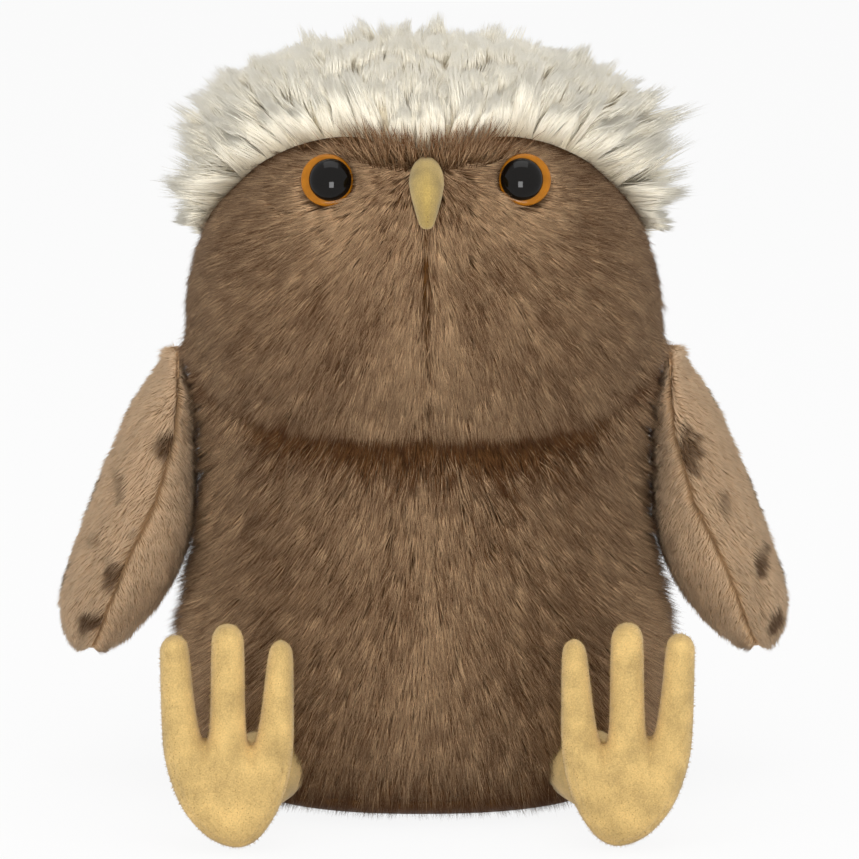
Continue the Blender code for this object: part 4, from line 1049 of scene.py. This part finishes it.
# Printed spots: seen from the front as offset, height, half width, half height and strength; then from outside.
FRONT_SPOTS = {
    RIGHT: ((0.0735, 0.1055, 0.0040, 0.0032, 1.0), (0.0890, 0.0926, 0.0014, 0.0042, 0.6),
            (0.0908, 0.0685, 0.0028, 0.0047, 0.9), (0.0976, 0.0514, 0.0034, 0.0038, 1.0),
            (0.0967, 0.0772, 0.0016, 0.0024, 0.4), (0.0847, 0.0811, 0.0020, 0.0018, 0.4)),
    LEFT: ((0.0764, 0.1040, 0.0034, 0.0056, 1.0), (0.0876, 0.0884, 0.0016, 0.0030, 0.5),
           (0.0988, 0.0700, 0.0022, 0.0047, 1.0), (0.1035, 0.0502, 0.0026, 0.0038, 1.0)),
}
FLANK_SPOTS = (
    (0.0120, 0.1120, 0.0040, 0.0042, 0.9), (0.0060, 0.0880, 0.0034, 0.0050, 0.9),
    (0.0190, 0.0760, 0.0036, 0.0048, 1.0), (0.0060, 0.0620, 0.0036, 0.0046, 0.9),
    (0.0150, 0.0500, 0.0032, 0.0040, 0.9), (0.0200, 0.0980, 0.0030, 0.0040, 0.7),
)


def spots_on(points, side):
    """How dark the printed spots are: ovals with ragged rims, fading from 0.7 to 1.5 of their size."""
    ragged = smooth_noise(points, 2.2 * MM, 61) * 0.45
    x, y, z = np.abs(points[:, 0]), points[:, 1], points[:, 2]
    dark = np.zeros(len(points))
    for across, table, seen in ((x, FRONT_SPOTS[side], y < 0.001), (y, FLANK_SPOTS, y >= 0.001)):
        for centre, height, wide, high, strength in table:
            away = np.sqrt(((across - centre) / wide) ** 2 + ((z - height) / high) ** 2) / 1.25
            dark = np.maximum(dark, strength * (1 - ease(away + ragged, 0.55, 1.2)) * seen)
    return dark


def past_seam(points):
    """How far a point of a wing lies outside the seam between its inner and outer panel."""
    return np.abs(points[..., 0]) - np.interp(points[..., 2], WING_SEAM[:, 0], WING_SEAM[:, 1])


class OWL_OT_wings(bpy.types.Operator):
    """Build both padded wings with their short spotted pile"""

    bl_idname = "owl.wings"
    bl_label = "Wings"

    def execute(self, context):
        """Each skin is pinched along the seam between its panels, and the pile lies down and outward."""
        pile, shades = settings()
        under = underwool("tan_underwool_knit", tuple(shades.tan_dark))
        for side, word in SIDES:
            surface = wing_surface(side)
            turns, shares = around(96), np.linspace(0.012, 0.985, 80)
            points, normals = with_normal(surface, *np.meshgrid(turns, shares), side)
            small = np.linalg.norm(points - points.mean(1, keepdims=True), axis=-1).min(1, keepdims=True)
            room = np.minimum(pile.short_pile + 0.0013 * bump_at(past_seam(points), 0, 0.0018), small * 0.5)
            rings = (points - normals * room[..., None])[:, ::side]
            skin = loft(f"wing_{word}_skin", rings, rings[0].mean(0), rings[-1].mean(0))
            finish(skin, under, f"wing_{word}", "spotted_pile")

            turn, share = scatter(surface, pile.wing_fibres, 12)
            points, normals = with_normal(surface, turn, share, side)
            middle = (surface(turn, share) + surface(turn + math.pi, share)) / 2
            off, z = past_seam(points), points[:, 2]
            outer = off >= 0
            across = np.where(outer, 0.30, -0.05) + np.sign(off) * 0.7 * bump_at(off, 0, 0.004)
            flow = np.stack([side * across, np.full(len(turn), 0.15), np.full(len(turn), -1.0)], -1)
            tone = 0.05 + 0.07 * smooth_noise(points, 9 * MM, 71) + 0.05 * smooth_noise(points, 3 * MM, 72)
            tone += 0.08 * bump_at(off, 0, 0.0012)
            # The spots are printed; painted light: the pile is a little lighter towards the wing's top, where more
            # light falls.
            tone += np.where(outer, 0.78 * spots_on(points, side) + 0.03, 0.0) - 0.05 * ease(z, 0.090, 0.120)
            depth = np.minimum(pile.short_pile - 0.2 * MM, np.linalg.norm(points - middle, axis=-1) * 0.45)
            depth = depth + 0.0006 * bump_at(off, 0, 0.0016)
            reach, lift = np.full(len(turn), pile.short_length), np.full(len(turn), math.radians(30))
            flow, lift, reach, _, shade = comb(points, normals, flow, lift, reach, 75, 3.0 * MM)
            root = points - normals * depth[:, None]
            tip = root + normals * (np.sin(lift) * reach)[:, None] + flow * (np.cos(lift) * reach)[:, None]
            stray = np.random.default_rng(76).normal(0, 0.07, len(turn))
            tone = np.clip(tone + shade * 0.16 + stray, 0.02, 0.98)
            for panel, mask in (("outer", outer), ("inner", ~outer)):
                piece = fibres(f"wing_{word}_{panel}_pile", root[mask], (root + tip)[mask] / 2, tip[mask],
                               pile.short_radius, tone[mask], 1, 17)
                finish(piece, tan_pile(), f"wing_{word}", "spotted_pile", f"wing_{word}_{panel}")
        return {"FINISHED"}


class OWL_OT_feet(bpy.types.Operator):
    """Build the padded suede feet with their nap, and the leg stubs behind them"""

    bl_idname = "owl.feet"
    bl_label = "Feet and legs"

    def execute(self, context):
        """A foot is a pillow over its outline: half thickness h = T sqrt(1 - (1 - d/R)^2) at depth d inside."""
        pile, shades = settings()
        suede = suede_cloth()
        shade = tuple(shades.suede)
        # Painted shade: the nap's fibres darken toward their roots.
        nap = made_once("suede_nap", lambda name: pile_material(
            name, ((0.0, scaled(shade, 0.9)), (1.0, scaled(shade, 1.15))),
            ((0.0, scaled(shade, 0.7)), (1.0, scaled(shade, 0.95))), 0.9))
        loop = closed_curve(FOOT_OUTLINE, 8)
        step = 0.42 * MM
        low, high = loop.min(0) - step, loop.max(0) + step
        columns, rows = (np.arange(low[i], high[i] + step, step) for i in (0, 1))
        grid = np.stack(np.meshgrid(columns, rows), -1)
        away, nearest, inside = to_outline(grid.reshape(-1, 2), loop)
        depth = np.where(inside, away, 0).reshape(grid.shape[:2])
        flat = np.where(inside[:, None], grid.reshape(-1, 2), nearest).reshape(grid.shape)
        toe = ease(flat[..., 1], 0.023, 0.040)
        round_off = 0.0080 + (0.0046 - 0.0080) * toe
        thick = (0.0070 + (0.0049 - 0.0070) * toe) * np.sqrt(1 - (1 - np.minimum(depth / round_off, 1)) ** 2)
        heel = ease(-flat[..., 1], -0.034, -0.020)
        for gap_x, gap_z in TOE_GAPS:
            below = ease(flat[..., 1], gap_z - 0.010, gap_z - 0.001) * (flat[..., 1] < gap_z + 0.002)
            thick = thick - 0.0011 * bump_at(flat[..., 0], gap_x, 0.0011) * below
        thick = thick - 0.00035 * bump_at(depth, 0.0021, 0.00045) * heel
        inside = inside.reshape(grid.shape[:2])
        cell = inside[:-1, :-1] | inside[1:, :-1] | inside[:-1, 1:] | inside[1:, 1:]
        index = np.arange(inside.size).reshape(inside.shape)
        quads = np.stack([index[:-1, :-1], index[:-1, 1:], index[1:, 1:], index[1:, :-1]], -1)[cell]
        for side, word in SIDES:
            x = side * (ANKLE[0] + flat[..., 0])
            z = FOOT_LIFT + flat[..., 1]
            sole = np.stack([x, FOOT_Y - thick, z], -1).reshape(-1, 3)
            back = np.stack([x, FOOT_Y + thick, z], -1).reshape(-1, 3)
            facing = quads if side == LEFT else quads[:, ::-1]
            points = np.vstack([sole, back])
            faces = np.vstack([facing, facing[:, ::-1] + len(sole)])
            foot = make(f"foot_{word}_cover", points, [faces])
            tidy(foot)
            finish(foot, suede, f"foot_{word}", "foot_suede", f"foot_{word}_sole", f"foot_{word}_top")
            fuzz = nap_on(f"foot_{word}_nap", foot, pile.foot_fibres, pile.nap_length, 81)
            finish(fuzz, nap, f"foot_{word}", "foot_suede")

            ankle = Vector((side * ANKLE[0], ANKLE[1], ANKLE[2]))
            run = Vector((side * LEG_RUN[0], LEG_RUN[1], LEG_RUN[2])).normalized()
            place = Matrix.Translation(ankle) @ run.to_track_quat("Z", "Y").to_matrix().to_4x4()
            table = fine(LEG_ROWS, 5)
            profile = [(0, table[0, 0]), *[(radius, distance) for distance, radius in table], (0, table[-1, 0])]
            leg = lathe(f"leg_{word}_cover", profile, place)
            finish(leg, suede, None, "foot_suede", f"leg_{word}")
            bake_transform(leg)
        return {"FINISHED"}


def closed_curve(points, steps):
    """A smooth closed curve through points, with Catmull-Rom slopes (next - last) / 2."""
    slopes = (np.roll(points, -1, 0) - np.roll(points, 1, 0)) / 2
    share = np.linspace(0, 1, steps, endpoint=False)[None, :, None]
    lift = share * share * (3 - 2 * share)
    start, end = points[:, None], np.roll(points, -1, 0)[:, None]
    first, second = slopes[:, None], np.roll(slopes, -1, 0)[:, None]
    curve = start * (1 - lift) + end * lift + first * share * (1 - share) ** 2 - second * share**2 * (1 - share)
    return curve.reshape(-1, 2)


def to_outline(points, loop):
    """Distance and nearest place on a closed outline, and whether a point is inside by crossings to the right."""
    start, end = loop, np.roll(loop, -1, 0)
    run = end - start
    best = np.full(len(points), np.inf)
    nearest = np.zeros_like(points)
    crossings = np.zeros(len(points), int)
    for a, b, d in zip(start, end, run):
        share = np.clip(((points - a) @ d) / (d @ d), 0, 1)
        foot = a + share[:, None] * d
        gap = np.linalg.norm(points - foot, axis=-1)
        near = gap < best
        best = np.where(near, gap, best)
        nearest[near] = foot[near]
        spans = (a[1] > points[:, 1]) != (b[1] > points[:, 1])
        if abs(d[1]) > 1e-12:
            crossings += spans & (points[:, 0] < a[0] + (points[:, 1] - a[1]) * d[0] / d[1])
    return best, nearest, crossings % 2 == 1


def tidy(piece):
    """Join doubled points, drop loose ones and turn all faces outward."""
    shape = bmesh.new()
    shape.from_mesh(piece.data)
    bmesh.ops.remove_doubles(shape, verts=shape.verts, dist=0.03 * MM)
    loose = [v for v in shape.verts if not v.link_faces]
    bmesh.ops.delete(shape, geom=loose, context="VERTS")
    bmesh.ops.recalc_face_normals(shape, faces=shape.faces)
    shape.to_mesh(piece.data)
    shape.free()
    piece.data.shade_smooth()


def nap_on(name, piece, count, reach, seed):
    """Short nap fibres spread over a mesh by the running sum of its faces' areas."""
    mesh = piece.data
    mesh.calc_loop_triangles()
    rng = np.random.default_rng(seed)
    corners = np.empty(len(mesh.loop_triangles) * 3, np.int32)
    mesh.loop_triangles.foreach_get("vertices", corners)
    place, facing = np.empty(len(mesh.vertices) * 3), np.empty(len(mesh.vertices) * 3)
    mesh.vertices.foreach_get("co", place)
    mesh.vertices.foreach_get("normal", facing)
    corners, place, facing = corners.reshape(-1, 3), place.reshape(-1, 3), facing.reshape(-1, 3)
    a, b, c = place[corners].transpose(1, 0, 2)
    area = np.linalg.norm(np.cross(b - a, c - a), axis=-1)
    pick = np.searchsorted(np.cumsum(area) / area.sum(), (np.arange(count) + rng.random(count)) / count)
    pick = np.minimum(pick, len(area) - 1)
    u, v = rng.random((2, count))
    over = u + v > 1
    u, v = np.where(over, 1 - u, u)[:, None], np.where(over, 1 - v, v)[:, None]
    root = a[pick] + (b - a)[pick] * u + (c - a)[pick] * v
    normal = unit(facing[corners[pick]].mean(1))
    lean = unit(normal + rng.normal(0, 0.8, (count, 3)))
    lean = unit(lean + normal * 0.6)
    tip = root + lean * (reach * (0.6 + 0.8 * rng.random(count)))[:, None]
    root = root - normal * 0.1 * MM
    return fibres(name, root, (root + tip) / 2, tip, 0.09 * MM, rng.random(count) * 0.9 + 0.05, 1, seed)


class OWL_OT_fillings(bpy.types.Operator):
    """Give fillings, pouch and lock washers, which stay as packed, their own materials"""

    bl_idname = "owl.fillings"
    bl_label = "Fillings and washers"

    def execute(self, context):
        """The inner nodes keep their shape."""
        fibre = cloth_material("polyester_fibre_fill", linear("D8D8D2"), linear("F2F2EE"), 1.5, 0.5)
        pouch = cloth_material("plain_woven_pouch_cloth", linear("B8A98C"), linear("CFC3A8"), 0.6, 0.1)
        nylon = moulded("moulded_nylon", linear("DDDCD4"), 0.45)
        for name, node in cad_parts.items():
            if "stuffing" in name:
                chosen = fibre
            elif name == "bean_pouch":
                chosen = pouch
            elif name.startswith("washer"):
                chosen = nylon
            else:
                continue
            for slot in node.material_slots:
                slot.material = chosen
        return {"FINISHED"}


def seen_as_background(tree):
    """1 where a ray shows the background itself: straight to the camera, mirrored or through something clear."""
    path = add(tree, "LightPath")
    camera, glossy, clear = (path.outputs[f"Is {kind} Ray"] for kind in ("Camera", "Glossy", "Transmission"))
    mirrored = add(tree, "Math", {0: camera, 1: glossy}, operation="MAXIMUM")
    clear = add(tree, "Math", {0: mirrored.outputs[0], 1: clear}, operation="MAXIMUM")
    return clear.outputs[0]


class OWL_OT_stage(bpy.types.Operator):
    """Build floor, studio lamps and camera"""

    bl_idname = "owl.stage"
    bl_label = "Stage"

    def execute(self, context):
        """The floor is white to the camera and keeps a soft shadow; lamps are broad and plain."""
        reach = 3.0
        corners = [(-reach, -reach, 0), (reach, -reach, 0), (reach, reach * 2, 0), (-reach, reach * 2, 0)]
        square = np.array(corners, float)
        floor = make("floor", square, [np.array([[0, 1, 2, 3]])])
        made, tree, shader = blank("white_studio_floor", Roughness=0.9, Specular_IOR_Level=0.1)
        shader.inputs["Base Color"].default_value = (*linear("E8E8E8"), 1)
        glow = add(tree, "Emission", {"Color": (1, 1, 1, 1), "Strength": 1.0})
        seen = add(tree, "Math", {0: seen_as_background(tree), 1: 0.9}, operation="MULTIPLY")
        both = add(tree, "MixShader", {0: seen.outputs[0], 1: shader.outputs[0], 2: glow.outputs[0]})
        tree.links.new(both.outputs[0], tree.nodes["Material Output"].inputs["Surface"])
        floor.data.materials.append(made)

        world = bpy.data.worlds.new("studio")
        context.scene.world = world
        world.use_nodes = True
        tree = world.node_tree
        tree.nodes.clear()
        seen = seen_as_background(tree)
        plain = add(tree, "Background", {"Color": (1, 1, 1, 1), "Strength": 0.66})
        white = add(tree, "Background", {"Color": (1, 1, 1, 1), "Strength": 1.0})
        both = add(tree, "MixShader", {0: seen, 1: plain.outputs[0], 2: white.outputs[0]})
        add(tree, "OutputWorld", {"Surface": both.outputs[0]})

        lamps = (
            ("window", (0.0, -0.86, 0.13), 0.22, 0.34, 2.9, True),
            ("left", (-0.95, -0.70, 0.60), 0.70, 0.70, 2.6, False),
            ("right", (0.95, -0.70, 0.60), 0.70, 0.70, 2.1, False),
            ("top", (0.0, -0.15, 1.30), 1.0, 0.9, 4.6, True),
        )
        aim = Vector((0, 0, 0.14))
        for name, place, wide, high, power, mirrored in lamps:
            lamp = bpy.data.lights.new(name, "AREA")
            lamp.shape, lamp.size, lamp.size_y, lamp.energy = "RECTANGLE", wide, high, power
            holder = bpy.data.objects.new(name, lamp)
            holder.location = place
            holder.rotation_euler = (aim - Vector(place)).to_track_quat("-Z", "Y").to_euler()
            holder.visible_camera = False
            holder.visible_glossy = mirrored
            context.scene.collection.objects.link(holder)

        lens = bpy.data.cameras.new("camera")
        lens.sensor_width, lens.lens, lens.clip_start = 36.0, 213.8, 0.05
        camera = bpy.data.objects.new("camera", lens)
        target, lift, swing, away = Vector((0.0016, 0, 0.1055)), math.radians(12), math.radians(-0.8), 1.5
        back = Vector((math.sin(swing) * math.cos(lift), -math.cos(swing) * math.cos(lift), math.sin(lift)))
        camera.location = target + back * away
        camera.rotation_euler = (-back).to_track_quat("-Z", "Y").to_euler()
        context.scene.collection.objects.link(camera)
        context.scene.camera = camera
        context.scene.view_settings.view_transform = "Standard"
        return {"FINISHED"}


OPERATORS = (
    OWL_OT_head, OWL_OT_body, OWL_OT_crown, OWL_OT_eyes, OWL_OT_beak, OWL_OT_wings, OWL_OT_feet,
    OWL_OT_fillings, OWL_OT_stage,
)


class OWL_PT_panel(bpy.types.Panel):
    """Sizes, colours and pieces of the owl"""

    bl_label = "Plush owl"
    bl_idname = "OWL_PT_panel"
    bl_space_type = "VIEW_3D"
    bl_region_type = "UI"
    bl_category = "Plush owl"

    def draw(self, context):
        """List the settings and the operators."""
        for group in settings():
            box = self.layout.box()
            for key in group.__annotations__:
                box.prop(group, key)
        for operator in OPERATORS:
            self.layout.operator(operator.bl_idname)


CLASSES = (OwlPile, OwlColours, *OPERATORS, OWL_PT_panel)


def register():
    """Register the classes and hang the settings on the scene."""
    for made in CLASSES:
        bpy.utils.register_class(made)
    bpy.types.Scene.owl_pile = PointerProperty(type=OwlPile)
    bpy.types.Scene.owl_colours = PointerProperty(type=OwlColours)


def unregister():
    """Take the settings and the classes away again."""
    del bpy.types.Scene.owl_pile
    del bpy.types.Scene.owl_colours
    for made in reversed(CLASSES):
        bpy.utils.unregister_class(made)


def main():
    """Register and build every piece."""
    register()
    for operator in OPERATORS:
        group, name = operator.bl_idname.split(".")
        getattr(getattr(bpy.ops, group), name)()


if __name__ == "__main__":
    main()
